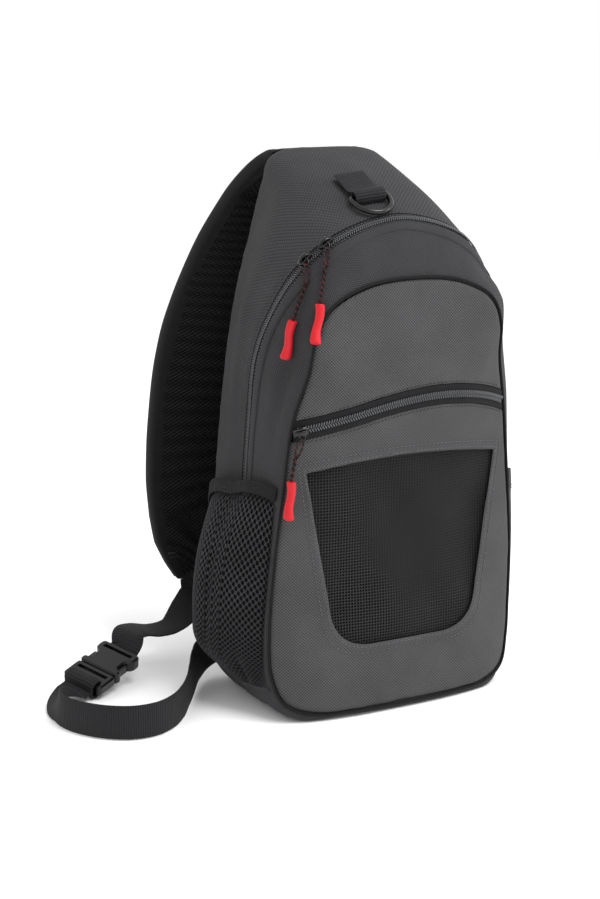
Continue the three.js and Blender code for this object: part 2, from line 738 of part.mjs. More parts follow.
function adjusterWrap() {
  const end = seatX + gap + plugLength;
  const bar = end - barSize / 2;
  const half = buckleThickness * 0.4 + gap;
  const outer = half + webbingThickness;
  const inside = bar - barSize / 2 - gap;
  const start = inside - webbingThickness;
  const finish = end + gap;
  const shape = new THREE.Shape();
  shape.moveTo(start, -half);
  shape.lineTo(start, half);
  shape.quadraticCurveTo(start, outer, start + webbingThickness, outer);
  shape.lineTo(finish, outer);
  shape.quadraticCurveTo(finish + webbingThickness, outer, finish + webbingThickness, half);
  shape.lineTo(finish + webbingThickness, -half);
  shape.quadraticCurveTo(finish + webbingThickness, -outer, finish, -outer);
  shape.lineTo(finish, -half);
  shape.lineTo(finish, half);
  shape.lineTo(inside, half);
  shape.lineTo(inside, -half);
  shape.closePath();
  const geometry = new THREE.ExtrudeGeometry(shape, { depth: webbingWidth, bevelEnabled: false, curveSegments: 3 });
  geometry.translate(0, 0, -webbingWidth / 2).rotateX(Math.PI / 2);
  return geometry.applyMatrix4(buckleFrame());
}

add('adjuster_wrap', adjusterWrap(), blackWeb);

// Webbing from the strap's end to the socket, and from the adjuster along the floor to the bag.
// Places in millimetres, chosen along the webbing; `side` is the direction from one edge to the other.

function webbing(places, steps) {
  const curve = new THREE.CatmullRomCurve3(places.map((p) => p.at), false, 'centripetal');
  const across = (s) => {
    const exact = s * (places.length - 1);
    const low = Math.min(Math.floor(exact), places.length - 2);
    return places[low].side.clone().lerp(places[low + 1].side, exact - low)
      .projectOnPlane(curve.getTangent(s));
  };
  const half = webbingWidth / 2;
  return strip(curve, steps, across, () => -half, () => half, () => webbingThickness / 2,
    () => webbingThickness, 1);
}

const strapEnd = strapLine.getPoint(1);
const strapDown = strapLine.getTangent(1);
const upperPlaces = [
  { at: strapEnd.clone().addScaledVector(strapDown, 2 * gap), side: vector(-1, 0, 0) },
  { at: strapEnd.clone().addScaledVector(strapDown, 13), side: vector(-1, 0.15, 0) },
  { at: strapEnd.clone().add(vector(-10, -3, -25)), side: vector(-0.75, 0.66, 0.2) },
  { at: strapEnd.clone().add(vector(-24, -7, -35)), side: vector(-0.15, 0.95, 0.1) },
  { at: vector(-122, 96.5, 28.5), side: vector(-0.05, 0.97, 0.1) },
  { at: vector(-137, 94, 32), side: vector(-0.2, 0.95, 0.15) },
  { at: vector(-147.5, 88, 32.5), side: farSide },
  { at: inBuckle(seatX - socketLength - 6, 0, 5), side: farSide },
  { at: inBuckle(seatX - socketLength - gap - 0.2, 0, 1), side: farSide },
];
const plugEnd = seatX + 2 * gap + plugLength + webbingThickness + 0.4;
const upright = vector(0, 0, 1);
const lowerPlaces = [
  { at: inBuckle(plugEnd, 0, -1), side: nearSide },
  { at: inBuckle(plugEnd + 9, 0, -1), side: nearSide },
  { at: vector(-224, 38, 9.5), side: vector(0.4, -0.6, 0.55) },
  { at: vector(-233, 20, 12.8), side: vector(0.15, -0.1, 0.95) },
  ...[[-235, 6, 13], [-230, -10, 13], [-218, -27, 13], [-200, -39, 13], [-182, -40, 13], [-166, -32, 13],
    [-152, -18, 13], [-139, 0, 13.5]].map((p) => ({ at: vector(...p), side: upright })),
  { at: vector(-127, 19, 14.5), side: vector(-0.1, 0, 1) },
  { at: vector(-113, 41, 16), side: vector(-0.2, 0, 1) },
  { at: vector(-101, 52.8, 19), side: vector(-0.4, 0, 0.9) },
  { at: vector(-88, 51.4, 25), side: vector(-0.5, 0, 0.85) },
];

add('upper_webbing', webbing(upperPlaces, 22), blackWeb);
add('lower_webbing', webbing(lowerPlaces, 34), blackWeb);

// D-ring and its webbing loop on the sloping top

const ringAlong = 0.195;
const ringRow = 12.75;

function topFrame() {
  const t = place(ringRow, -1);
  const middle = skin(t, -ringAlong);
  const up = skinNormal(t, -ringAlong);
  const across = vector(1, 0, 0).projectOnPlane(up).normalize();
  return new THREE.Matrix4().makeBasis(across, up.clone().cross(across), up).setPosition(middle);
}

// In the top's frame: x across, y up the slope, z out of the cloth; the tab lies a little below its plane.
const tabLift = -0.65;
const holeRadius = ringWire + ringClearance;
const ringHeight = holeRadius + webbingThickness + tabLift;
const tailLength = 30;

function ringLoop() {
  const outer = holeRadius + webbingThickness;
  const shape = new THREE.Shape();
  shape.moveTo(0, ringHeight - outer);
  shape.lineTo(tailLength, tabLift);
  shape.lineTo(tailLength, tabLift + 2 * webbingThickness);
  shape.lineTo(6, tabLift + 2 * webbingThickness + 1);
  shape.lineTo(2.2, ringHeight + outer * 0.85);
  shape.absarc(0, ringHeight, outer, 0.32 * Math.PI, 1.5 * Math.PI, false);
  const hole = new THREE.Path();
  hole.absarc(0, ringHeight, holeRadius, 0, 2 * Math.PI, true);
  shape.holes.push(hole);
  const geometry = new THREE.ExtrudeGeometry(shape, { depth: tabWidth, bevelEnabled: false, curveSegments: 10 });
  geometry.translate(0, 0, -tabWidth / 2);
  const turn = new THREE.Matrix4().makeBasis(vector(0, 1, 0), vector(0, 0, 1), vector(1, 0, 0));
  return geometry.applyMatrix4(turn).applyMatrix4(topFrame());
}

function ringShape() {
  const half = ringWidth / 2 - ringWire;
  const points = [vector(0, 0, 0)];
  const bow = 9;
  points.push(vector(half * 0.55, 0, 0), vector(half - 1, 0, 0), vector(half, -1.4, 0));
  for (let i = 0; i <= bow; i += 1) {
    const turn = (Math.PI * i) / bow;
    points.push(vector(half * Math.cos(turn), -4 - (ringLength - 2 * ringWire - 4) * Math.sin(turn), 0));
  }
  points.push(vector(-half, -1.4, 0), vector(-half + 1, 0, 0), vector(-half * 0.55, 0, 0));
  return points.map((p) => p.setZ(ringHeight).applyMatrix4(topFrame()));
}

// A closed ring of round wire through the given middle points.
function wireRing(points, radius, sides) {
  const count = points.length;
  const centre = points.reduce((sum, p) => sum.add(p), vector(0, 0, 0)).divideScalar(count);
  const normal = points[1].clone().sub(centre).cross(points[6].clone().sub(centre)).normalize();
  const rows = points.map((p, i) => {
    const forward = points[(i + 1) % count].clone().sub(points[(i + count - 1) % count]).normalize();
    const side = forward.clone().cross(normal).normalize();
    return Array.from({ length: sides }, (_, s) => {
      const turn = (2 * Math.PI * s) / sides;
      return p.clone().addScaledVector(side, radius * Math.cos(turn)).addScaledVector(normal, radius * Math.sin(turn));
    });
  });
  const triangles = [];
  for (let r = 0; r < count; r += 1) {
    for (let s = 0; s < sides; s += 1) {
      const next = (r + 1) % count;
      const turn = (s + 1) % sides;
      const [a, b, c, d] = [r * sides + s, r * sides + turn, next * sides + turn, next * sides + s];
      triangles.push([a, c, b], [a, d, c]);
    }
  }
  return indexed(rows.flat(), triangles);
}

add('ring_loop', ringLoop(), blackWeb);
add('d_ring', wireRing(ringShape(), ringWire, 8), blackPlastic);

// Zip sliders with their pull tabs, cords and rubber tips

const cordSeat = 0.38;
const sliderLength = 11;
const sliderWidth = 8.4;
const sliderHeight = 3.4;

function sliderBody(matrix) {
  const shape = new THREE.Shape();
  const [a, b] = [sliderLength / 2, sliderWidth / 2];
  shape.moveTo(-a, -b * 0.6);
  shape.lineTo(-a * 0.2, -b * 0.65);
  shape.quadraticCurveTo(a, -b * 1.2, a, 0);
  shape.quadraticCurveTo(a, b * 1.2, -a * 0.2, b * 0.65);
  shape.lineTo(-a, b * 0.6);
  shape.closePath();
  const bevel = 0.6;
  const geometry = new THREE.ExtrudeGeometry(shape, {
    depth: sliderHeight - 2 * bevel, bevelThickness: bevel, bevelSize: bevel, bevelOffset: -bevel,
    bevelSegments: 1, curveSegments: 4,
  });
  return geometry.translate(0, 0, bevel).applyMatrix4(matrix);
}

function mainSliderFrame(t) {
  const up = skinNormal(t, 0);
  const at = skin(t, 0).addScaledVector(up, coilThickness + 4 * gap - 0.2);
  const forward = zipCurve.getTangent(t).projectOnPlane(up).normalize();
  return new THREE.Matrix4().makeBasis(forward, up.clone().cross(forward), up).setPosition(at);
}

// A point on the front face, `outset` in front of the panels' inner side.
function facePoint(x, z, outset) {
  const centre = faceCentre * bagHeight;
  let best = null;
  for (let i = 0; i <= 400; i += 1) {
    const edge = seamCurve.getPoint(i / 400);
    const turn = Math.atan2(edge.z - centre, edge.x) - Math.atan2(z - centre, x);
    const miss = Math.abs(Math.atan2(Math.sin(turn), Math.cos(turn)));
    if (best === null || miss < best.miss) best = { miss, edge };
  }
  const share = Math.hypot(x, z - centre) / Math.hypot(best.edge.x, best.edge.z - centre);
  const depth = THREE.MathUtils.lerp(middleForward(z), -best.edge.y, share ** 3);
  return vector(x, -depth - dome(share, z) - outset, z);
}

const frontSliderInset = 18.5;
const frontSliderX = frontSliderInset - halfWidth;

function frontSliderFrame() {
  const step = 4;
  const outset = tapeThickness + coilThickness + 4 * gap;
  const at = facePoint(frontSliderX, zipLine(frontSliderX), outset);
  const next = facePoint(frontSliderX + step, zipLine(frontSliderX + step), outset);
  const above = facePoint(frontSliderX, zipLine(frontSliderX) + step, outset);
  const forward = next.sub(at).normalize();
  const up = forward.clone().cross(above.sub(at)).normalize();
  return new THREE.Matrix4().makeBasis(forward, up.clone().cross(forward), up).setPosition(at);
}

// Each pull hangs from one side of its slider; the places along its cord and the tip's lower end
// are in millimetres, chosen by hand in front of the cloth.
const pulls = [
  {
    name: 'main_a', frame: mainSliderFrame(place(11.36, -1)), side: 1,
    cord: [[-75, -62.5, 318.5], [-79.5, -61.5, 305], [-84.6, -61, 291]], tip: [-88.6, -56, 263.5],
  },
  {
    name: 'main_b', frame: mainSliderFrame(place(11.83, -1)), side: 1,
    cord: [[-63.5, -69, 329.5], [-68, -73, 317.5], [-74, -79.5, 304]], tip: [-80, -84.5, 277],
  },
  {
    name: 'front', frame: frontSliderFrame(), side: -1,
    cord: [[-88, -75, 203], [-90.5, -74, 194], [-92.5, -72.5, 181]], tip: [-94, -72, 153],
  },
];

function tipShape(from, to) {
  const length = from.distanceTo(to);
  const profile = [[0, 0], [0.62, 0], [0.9, 0.05], [0.86, 0.25], [0.8, 0.55], [0.92, 0.8], [1.1, 0.94], [0.9, 1], [0, 1]];
  const points = profile.map(([r, h]) => new THREE.Vector2(r * tipRadius, h * length));
  const geometry = new THREE.LatheGeometry(points, 10);
  const turn = new THREE.Quaternion().setFromUnitVectors(vector(0, 1, 0), to.clone().sub(from).normalize());
  return geometry.applyQuaternion(turn).translate(from.x, from.y, from.z);
}

for (const { name, frame, side, cord, tip } of pulls) {
  add(`${name}_slider`, sliderBody(frame), blackMetal);
  const reach = cordSeat * sliderWidth + pullCordRadius + gap;
  const start = vector(1, side * reach, sliderHeight / 2).applyMatrix4(frame);
  const hang = cord.map((place) => vector(...place));
  add(`${name}_pull_cord`, tube([start, ...hang], pullCordRadius, 6, 12), blackCord);
  const end = hang.at(-1);
  const low = vector(...tip);
  const away = low.clone().sub(end).normalize();
  add(`${name}_pull_tip`, tipShape(end.clone().addScaledVector(away, gap), low), redRubber);
}

export default bag;
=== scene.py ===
# Fishing tackle sling bag: the cloth, zips, nets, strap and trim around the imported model.
# Lengths are in millimetres until a mesh is made; the scene itself is in metres.

import math

import bpy
import numpy as np
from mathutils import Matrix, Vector


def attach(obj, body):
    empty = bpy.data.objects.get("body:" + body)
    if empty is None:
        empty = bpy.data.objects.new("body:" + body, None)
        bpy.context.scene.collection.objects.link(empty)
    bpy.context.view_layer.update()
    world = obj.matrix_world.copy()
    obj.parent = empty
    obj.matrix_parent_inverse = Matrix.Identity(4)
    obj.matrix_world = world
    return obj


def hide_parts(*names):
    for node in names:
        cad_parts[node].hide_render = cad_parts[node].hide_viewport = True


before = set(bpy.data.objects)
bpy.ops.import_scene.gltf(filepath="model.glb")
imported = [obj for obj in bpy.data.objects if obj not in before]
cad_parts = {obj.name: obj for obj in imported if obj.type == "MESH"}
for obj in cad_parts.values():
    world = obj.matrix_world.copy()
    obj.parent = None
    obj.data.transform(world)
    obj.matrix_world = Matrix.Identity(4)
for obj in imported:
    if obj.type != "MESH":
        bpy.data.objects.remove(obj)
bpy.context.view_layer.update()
scene = bpy.context.scene
MM = 0.001


# Camera, as the photograph was taken: place and angles fitted to it, focal length in pixels

PHOTO_HEIGHT, FOCAL_PIXELS, SENSOR = 899, 1822, 36
AZIMUTH, PITCH = math.radians(29), math.radians(12.8)
CAMERA_BACK, CAMERA_LEFT, CAMERA_HEIGHT = 1.330, 0.0397, 0.481


def add_camera():
    data = bpy.data.cameras.new("camera")
    data.sensor_fit = "AUTO"
    data.sensor_width = SENSOR
    data.lens = SENSOR * FOCAL_PIXELS / PHOTO_HEIGHT
    data.clip_start, data.clip_end = 0.05, 400
    camera = bpy.data.objects.new("camera", data)
    forward = Vector((math.sin(AZIMUTH), math.cos(AZIMUTH), 0))
    right = Vector((math.cos(AZIMUTH), -math.sin(AZIMUTH), 0))
    camera.location = (-forward * CAMERA_BACK - right * CAMERA_LEFT
                       + Vector((0, 0, CAMERA_HEIGHT)))
    look = forward * math.cos(PITCH) - Vector((0, 0, math.sin(PITCH)))
    camera.rotation_mode = "QUATERNION"
    camera.rotation_quaternion = look.to_track_quat("-Z", "Y")
    scene.collection.objects.link(camera)
    scene.camera = camera


add_camera()

# Sizes of the model, the same as in the part's source

bag_height, half_width = 402, 103
front_depth, back_depth, back_dome = 75, 50, 4
gap, cloth = 0.3, 1.6
gusset_bulge = 8
main_zip_width, main_coil_width, coil_thickness = 11, 4.6, 1.8
tape_thickness, panel_thickness, panel_dome, panel_inset = 1.2, 1.6, 3, 0.98
divider_recess, piping_radius = 6, 1.3
front_zip_height, front_zip_rise, front_zip_lean, front_zip_band = 230, 18, 12, 15
window_top, window_rise, window_bottom = 191, 7, 54
window_top_half, window_bottom_half, window_corner = 79, 60, 32
pocket_net, left_bulge, right_bulge = 1.4, 23, 13
band_thickness = 2.4
strap_width, strap_thickness, lining_thickness, binding_width = 86, 7, 2, 4
strap_left, strap_stand_off = 121, 63
webbing_width, webbing_thickness, tab_width = 25, 1.6, 22
ring_wire, ring_width, ring_length = 2, 32, 24
slider_width, slider_height = 8.4, 3.4
pull_cord_radius, tip_radius = 1.1, 3.5

# seam (across, forward, up), zip (across, forward, up), back (across, up), left, right, band
OUTLINES = np.array([
    [0.0, 1.0, 0.01, 0.0, 0.107, 0.0, 0.0, 0.008, 0.8, 0.8, 0],
    [0.4, 0.985, 0.01, 0.4, 0.107, 0.0, 0.4, 0.008, 0.5, 0.8, 0],
    [0.73, 0.925, 0.015, 0.77, 0.107, 0.003, 0.74, 0.012, 0.35, 0.8, 0],
    [0.91, 0.84, 0.036, 0.93, 0.107, 0.022, 0.9, 0.037, 0.35, 0.5, 0],
    [0.985, 0.77, 0.085, 0.995, 0.107, 0.072, 0.955, 0.095, 0.45, 0.8, 0],
    [1.0, 0.76, 0.155, 1.0, 0.107, 0.15, 0.955, 0.17, 0.4, 1.1, 0],
    [0.98, 0.8, 0.275, 0.95, 0.107, 0.28, 0.91, 0.325, 0.4, 1.4, 0],
    [0.92, 0.84, 0.42, 0.92, 0.107, 0.41, 0.855, 0.485, 0.4, 1.65, 1],
    [0.855, 0.88, 0.55, 0.893, 0.133, 0.532, 0.796, 0.612, 0.5, 2.05, 1],
    [0.77, 0.97, 0.635, 0.874, 0.2, 0.64, 0.69, 0.76, 0.5, 2.1, 1],
    [0.74, 1.04, 0.7, 0.835, 0.39, 0.716, 0.59, 0.858, 0.5, 2.05, 1],
    [0.64, 1.07, 0.747, 0.738, 0.66, 0.796, 0.505, 0.933, 0.5, 0.5, 1],
    [0.37, 1.08, 0.781, 0.505, 0.808, 0.853, 0.427, 0.988, 0.5, 0.4, 1],
    [0.0, 1.08, 0.791, 0.0, 0.828, 0.887, 0.0, 1.0, 0.7, 0.7, 1],
])
HALF = len(OUTLINES) - 1

# side, row, along, depth, spread in rows, spread along
FOLDS = [
    (-1, 8.6, 0.72, -3.5, 0.9, 0.12), (-1, 10.6, 0.55, -3, 0.5, 0.2),
    (-1, 8.8, -0.45, 2.5, 1.2, 0.12),
    (1, 11.2, 0.5, -3, 0.5, 0.18), (1, 9.4, 0.5, -2.5, 0.6, 0.25), (1, 11.0, -0.5, 3, 0.8, 0.3),
    (-1, 11.0, -0.5, 3, 0.8, 0.3),
]


# Curves and the bag's skin

def catmull(points, t, closed):
    """Centripetal Catmull-Rom curve through the points, at shares t of it."""
    points = np.asarray(points, float)
    count = len(points)
    place = np.asarray(t, float) * (count if closed else count - 1)
    if closed:
        low = np.floor(place).astype(int)
        weight = place - low
        p = [points[(low + k) % count] for k in (-1, 0, 1, 2)]
    else:
        low = np.clip(np.floor(place).astype(int), 0, count - 2)
        weight = place - low
        ends = np.vstack([2 * points[0] - points[1], points, 2 * points[-1] - points[-2]])
        p = [ends[low + k] for k in (0, 1, 2, 3)]
    d = [np.maximum(((p[k + 1] - p[k]) ** 2).sum(-1) ** 0.25, 1e-4)[..., None] for k in range(3)]
    first = (p[1] - p[0]) / d[0] - (p[2] - p[0]) / (d[0] + d[1]) + (p[2] - p[1]) / d[1]
    second = (p[2] - p[1]) / d[1] - (p[3] - p[1]) / (d[1] + d[2]) + (p[3] - p[2]) / d[2]
    first, second = first * d[1], second * d[1]
    w = weight[..., None]
    bend = -3 * p[1] + 3 * p[2] - 2 * first - second
    return p[1] + first * w + bend * w ** 2 + (2 * p[1] - 2 * p[2] + first + second) * w ** 3


def ring_points(half):
    left = half[1:-1][::-1] * [-1, 1, 1]
    return np.vstack([half, left])


def outline(columns):
    rows = OUTLINES[:, columns]
    if len(columns) == 2:
        half = np.stack([rows[:, 0] * half_width, np.full(len(rows), back_depth),
                         rows[:, 1] * bag_height], 1)
    else:
        half = rows * [half_width, -front_depth, bag_height]
    return ring_points(half)


SEAM, ZIP, BACK = outline([0, 1, 2]), outline([3, 4, 5]), outline([6, 7])


def row_of(t):
    turned = np.mod(t, 1) * 2 * HALF
    return np.minimum(turned, 2 * HALF - turned), np.where(turned <= HALF, 1, -1)


def row_value(t, right, left):
    row, side = row_of(t)
    steps = np.arange(HALF + 1)
    return np.where(side > 0, np.interp(row, steps, OUTLINES[:, right]),
                    np.interp(row, steps, OUTLINES[:, left]))


def fold_depth(t, along):
    row, side = row_of(t)
    total = np.zeros(np.broadcast(t, along).shape)
    for fold_side, fold_row, fold_along, depth, wide, long in FOLDS:
        far = ((row - fold_row) / wide) ** 2 + ((along - fold_along) / long) ** 2
        total = total + np.where(side == fold_side, depth * np.exp(-far), 0)
    return total


def unit(v):
    return v / np.maximum(np.linalg.norm(v, axis=-1, keepdims=True), 1e-9)


def square_to(v, axis):
    """v without its part along an axis, of length 1."""
    return unit(v - axis * (v * axis).sum(-1, keepdims=True))


def distances(path):
    """How far along the path each of its points lies."""
    return np.concatenate([[0], np.cumsum(np.linalg.norm(np.diff(path, axis=0), axis=1))])


def between(at, scale, rows):
    """Rows of numbers, interpolated at places of a scale."""
    return np.stack([np.interp(at, scale, column) for column in np.asarray(rows).T], 1)


def full_turn(count):
    return np.linspace(0, 2 * math.pi, count, endpoint=False)


def powered(v, power):
    return np.sign(v) * np.abs(v) ** power


def skin(t, along):
    """The bag's skin: along is -1 at the back outline, 0 at the zip and 1 at the front seam."""
    t, along = np.broadcast_arrays(np.asarray(t, float), np.asarray(along, float))
    start = catmull(ZIP, np.mod(t, 1), True)
    end = np.where((along < 0)[..., None], catmull(BACK, np.mod(t, 1), True),
                   catmull(SEAM, np.mod(t, 1), True))
    share = np.abs(along)
    point = start + (end - start) * share[..., None]
    swell = gusset_bulge * row_value(t, 9, 8)
    lift = (swell + fold_depth(t, along)) * np.sin(math.pi * share) ** 0.8
    middle = np.stack([0 * share, point[..., 1],
                       np.clip(point[..., 2], 0.15 * bag_height, bag_height / 2)], -1)
    point = point + unit(point - middle) * lift[..., None]
    point[..., 2] = np.maximum(point[..., 2], 0)
    return point


def skin_normal(t, along):
    t, along = np.broadcast_arrays(np.asarray(t, float), np.asarray(along, float))
    around = skin(t + 0.004, along) - skin(t - 0.004, along)
    across = skin(t, np.minimum(along + 0.02, 1)) - skin(t, np.maximum(along - 0.02, -1))
    return -unit(np.cross(across, around))


def place_on(row, side):
    return np.where(side > 0, row, 2 * HALF - row) / (2 * HALF)


def zip_reach(t, direction):
    target = BACK if direction < 0 else SEAM
    return np.linalg.norm(catmull(ZIP, t, True) - catmull(target, t, True), axis=-1)


# Front face

MIDDLE_UP = [0.0, 0.15, 0.32, 0.55, 0.7, 0.8]
MIDDLE_FORWARD = [1.0, 0.98, 0.95, 0.97, 1.06, 1.09]
FACE_CENTRE = 0.36 * bag_height
EDGE = catmull(SEAM, np.linspace(0, 1, 1200, endpoint=False), True)
EDGE_TURN = np.arctan2(EDGE[:, 2] - FACE_CENTRE, EDGE[:, 0])
EDGE_ORDER = np.argsort(EDGE_TURN)
EDGE_FAR = np.hypot(EDGE[:, 0], EDGE[:, 2] - FACE_CENTRE)


def face_share(x, z):
    turn = np.arctan2(z - FACE_CENTRE, x)
    far = np.interp(turn, EDGE_TURN[EDGE_ORDER], EDGE_FAR[EDGE_ORDER], period=2 * math.pi)
    depth = np.interp(turn, EDGE_TURN[EDGE_ORDER], -EDGE[EDGE_ORDER, 1], period=2 * math.pi)
    return np.hypot(x, z - FACE_CENTRE) / far, depth


def dome(share, z):
    low = np.clip(z / (0.2 * bag_height), 0, 1)
    return panel_dome * (1 - share ** 2) * (0.35 + 0.65 * (3 - 2 * low) * low ** 2)


def face_point(x, z, outset, domed=True):
    """A point on the front face, outset in front of the inner side of the panels."""
    x, z = np.broadcast_arrays(np.asarray(x, float), np.asarray(z, float))
    share, edge_depth = face_share(x, z)
    middle = front_depth * np.interp(z / bag_height, MIDDLE_UP, MIDDLE_FORWARD)
    depth = middle + (edge_depth - middle) * np.clip(share, 0, 1.1) ** 3
    if domed:
        depth = depth + dome(share, z)
    return np.stack([x, -depth - outset, z], -1)


# Meshes

def noise(points, size, seed):
    """Smooth noise from -1 to 1 at points in millimetres, with lumps of about that size."""
    random = np.random.default_rng(seed)
    total = 0
    for _ in range(7):
        way = unit(random.normal(size=3)) * 2 * math.pi / (size * random.uniform(1.3, 3.0))
        total = total + np.sin(points @ way + random.uniform(0, 2 * math.pi))
    return total / 3.5


def grid_normals(P, wrap):
    if wrap:
        around = np.roll(P, -1, 1) - np.roll(P, 1, 1)
    else:
        around = np.gradient(P, axis=1)
    return unit(np.cross(around, np.gradient(P, axis=0)))


def grid_faces(P, wrap, uv):
    rows, columns = P.shape[:2]
    r, c = np.meshgrid(np.arange(rows - 1), np.arange(columns if wrap else columns - 1),
                       indexing="ij")
    r, c = r.ravel(), c.ravel()
    n = (c + 1) % columns
    near, far = r * columns, (r + 1) * columns
    faces = np.stack([near + c, near + n, far + n, far + c], 1)
    uvs = np.stack([uv[r, c], uv[r, c + 1], uv[r + 1, c + 1], uv[r + 1, c]], 1)
    return faces, uvs


def fan(first, columns, middle, turned=False):
    """Triangles between one middle point and the ring of points that starts at `first`."""
    ring = first + np.arange(columns)
    pair = (np.roll(ring, -1), ring) if turned else (ring, np.roll(ring, -1))
    return np.stack([*pair, np.full(columns, middle)], 1)


def end_fans(columns, count):
    """Closes a tube of `count` points; the middles of its two ends come after them."""
    return np.vstack([fan(0, columns, count, True), fan(count - columns, columns, count + 1)])


def shell(verts, faces, uvs, thick, normals=None):
    """Closes a sheet of faces into a solid; the wall grows against the faces' normals."""
    count = len(verts)
    if normals is None:
        normals = np.zeros_like(verts)
        for part in faces:
            cross = np.cross(verts[part[:, 2]] - verts[part[:, 0]],
                             verts[part[:, -1]] - verts[part[:, 1]])
            for k in range(part.shape[1]):
                np.add.at(normals, part[:, k], cross)
        normals = unit(normals)
    inner = verts - normals * np.asarray(thick)[..., None]
    all_faces = list(faces) + [part[:, ::-1] + count for part in faces]
    all_uvs = list(uvs) + [part[:, ::-1] for part in uvs]
    starts = np.concatenate([part.ravel() for part in faces])
    ends = np.concatenate([np.roll(part, -1, 1).ravel() for part in faces])
    start_uv = np.concatenate([part.reshape(-1, 2) for part in uvs])
    end_uv = np.concatenate([np.roll(part, -1, 1).reshape(-1, 2) for part in uvs])
    open_edge = ~np.isin(starts * count + ends, ends * count + starts)
    a, b = starts[open_edge], ends[open_edge]
    all_faces.append(np.stack([b, a, a + count, b + count], 1))
    ua, ub = start_uv[open_edge], end_uv[open_edge]
    shift = np.array([0, 0.0015])
    all_uvs.append(np.stack([ub, ua, ua + shift, ub + shift], 1))
    return np.vstack([verts, inner]), all_faces, all_uvs


def mesh_object(name, verts, faces, uvs, materials, index=None, sharp=None):
    faces = [part for part in faces if len(part)]
    uvs = [part for part in uvs if len(part)]
    mesh = bpy.data.meshes.new(name)
    loops = np.concatenate([part.ravel() for part in faces]).astype(np.int32)
    sizes = np.concatenate([np.full(len(part), part.shape[1]) for part in faces]).astype(np.int32)
    mesh.vertices.add(len(verts))
    mesh.vertices.foreach_set("co", (np.asarray(verts) * MM).astype(np.float32).ravel())
    mesh.loops.add(len(loops))
    mesh.loops.foreach_set("vertex_index", loops)
    mesh.polygons.add(len(sizes))
    starts = np.concatenate([[0], np.cumsum(sizes)[:-1]])
    mesh.polygons.foreach_set("loop_start", starts.astype(np.int32))
    if index is not None:
        mesh.polygons.foreach_set("material_index", np.asarray(index, np.int32))
    mesh.update(calc_edges=True)
    layer = mesh.uv_layers.new(name="UVMap")
    flat = np.concatenate([part.reshape(-1) for part in uvs])
    layer.data.foreach_set("uv", flat.astype(np.float32))
    mesh.polygons.foreach_set("use_smooth", np.ones(len(sizes), bool))
    if sharp is not None:
        mesh.set_sharp_from_angle(angle=math.radians(sharp))
    mesh.validate()
    for material in materials:
        mesh.materials.append(material)
    made = bpy.data.objects.new(name, mesh)
    scene.collection.objects.link(made)
    return made


def dress(piece, slot, *nodes, body="bag"):
    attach(piece, body)
    if nodes:
        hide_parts(*nodes)
    return piece


def arc_uv(P, wrap):
    """Lengths along the rows and columns of a grid, in metres, from its first corner."""
    if wrap:
        P = np.concatenate([P, P[:, :1]], 1)
    across = np.linalg.norm(np.diff(P, axis=1), axis=-1).mean(0)
    along = np.linalg.norm(np.diff(P, axis=0), axis=-1).mean(1)
    u = np.concatenate([[0], np.cumsum(across)])
    v = np.concatenate([[0], np.cumsum(along)])
    return np.stack(np.meshgrid(u, v), -1) * MM


def square(columns, rows, across=(0, 1), up=(0, 1)):
    """Shares across and up for each point of a grid."""
    return np.meshgrid(np.linspace(*across, columns), np.linspace(*up, rows), indexing="xy")


def cloth_grid(name, P, materials, thick, wrap=False, flip=False, uv=None, sharp=50):
    uv = arc_uv(P, wrap) if uv is None else uv
    faces, uvs = grid_faces(P, wrap, uv)
    if flip:
        faces, uvs = faces[:, ::-1], uvs[:, ::-1]
    verts, all_faces, all_uvs = shell(P.reshape(-1, 3), [faces], [uvs], thick)
    return mesh_object(name, verts, all_faces, all_uvs, materials, sharp=sharp)


def frames_along(path, up=None):
    """Tangent, side and up for each point of a path; `up` are wished directions."""
    tangent = unit(np.gradient(path, axis=0))
    if up is None:
        up = np.zeros_like(path)
        now = np.array([0.0, 0.0, 1.0]) if abs(tangent[0][2]) < 0.8 else np.array([1.0, 0.0, 0.0])
        for i, forward in enumerate(tangent):
            now = now - forward * (now @ forward)
            now = now / np.linalg.norm(now)
            up[i] = now
    up = square_to(up, tangent)
    return tangent, np.cross(tangent, up), up


def sweep(path, section, up=None, closed=False, scale=None):
    """Vertices, faces and UVs of a section (side, up) carried along a path, with closed ends."""
    tangent, side, up = frames_along(path, up)
    if closed:
        forward = unit(np.roll(path, -1, 0) - np.roll(path, 1, 0))
        up = square_to(up, forward)
        side = np.cross(forward, up)
    section = np.asarray(section, float)
    scale = np.ones(len(path)) if scale is None else scale
    P = (path[:, None] + side[:, None] * section[None, :, :1] * scale[:, None, None]
         + up[:, None] * section[None, :, 1:] * scale[:, None, None])
    if closed:
        P = np.concatenate([P, P[:1]], 0)
    faces, uvs = grid_faces(P, True, arc_uv(P, True))
    uvs = uvs[..., ::-1]
    if closed:
        count = len(path) * len(section)
        return P.reshape(-1, 3)[:count], [faces % count], [uvs]
    verts = np.vstack([P.reshape(-1, 3), path[:1], path[-1:]])
    fans = end_fans(len(section), P.shape[0] * P.shape[1])
    return verts, [faces, fans], [uvs, np.zeros((len(fans), 3, 2))]


def circle(radius, sides):
    turn = full_turn(sides)
    return np.stack([radius * np.cos(turn), radius * np.sin(turn)], 1)


def merged(parts):
    """One vertex list and face list from several (verts, faces, uvs)."""
    verts, faces, uvs, first = [], [], [], 0
    for part_verts, part_faces, part_uvs in parts:
        verts.append(part_verts)
        faces += [f + first for f in part_faces]
        uvs += list(part_uvs)
        first += len(part_verts)
    sizes = sorted({f.shape[1] for f in faces})

    def grouped(parts):
        return [np.concatenate([part for f, part in zip(faces, parts) if f.shape[1] == n])
                for n in sizes]

    return np.vstack(verts), grouped(faces), grouped(uvs)


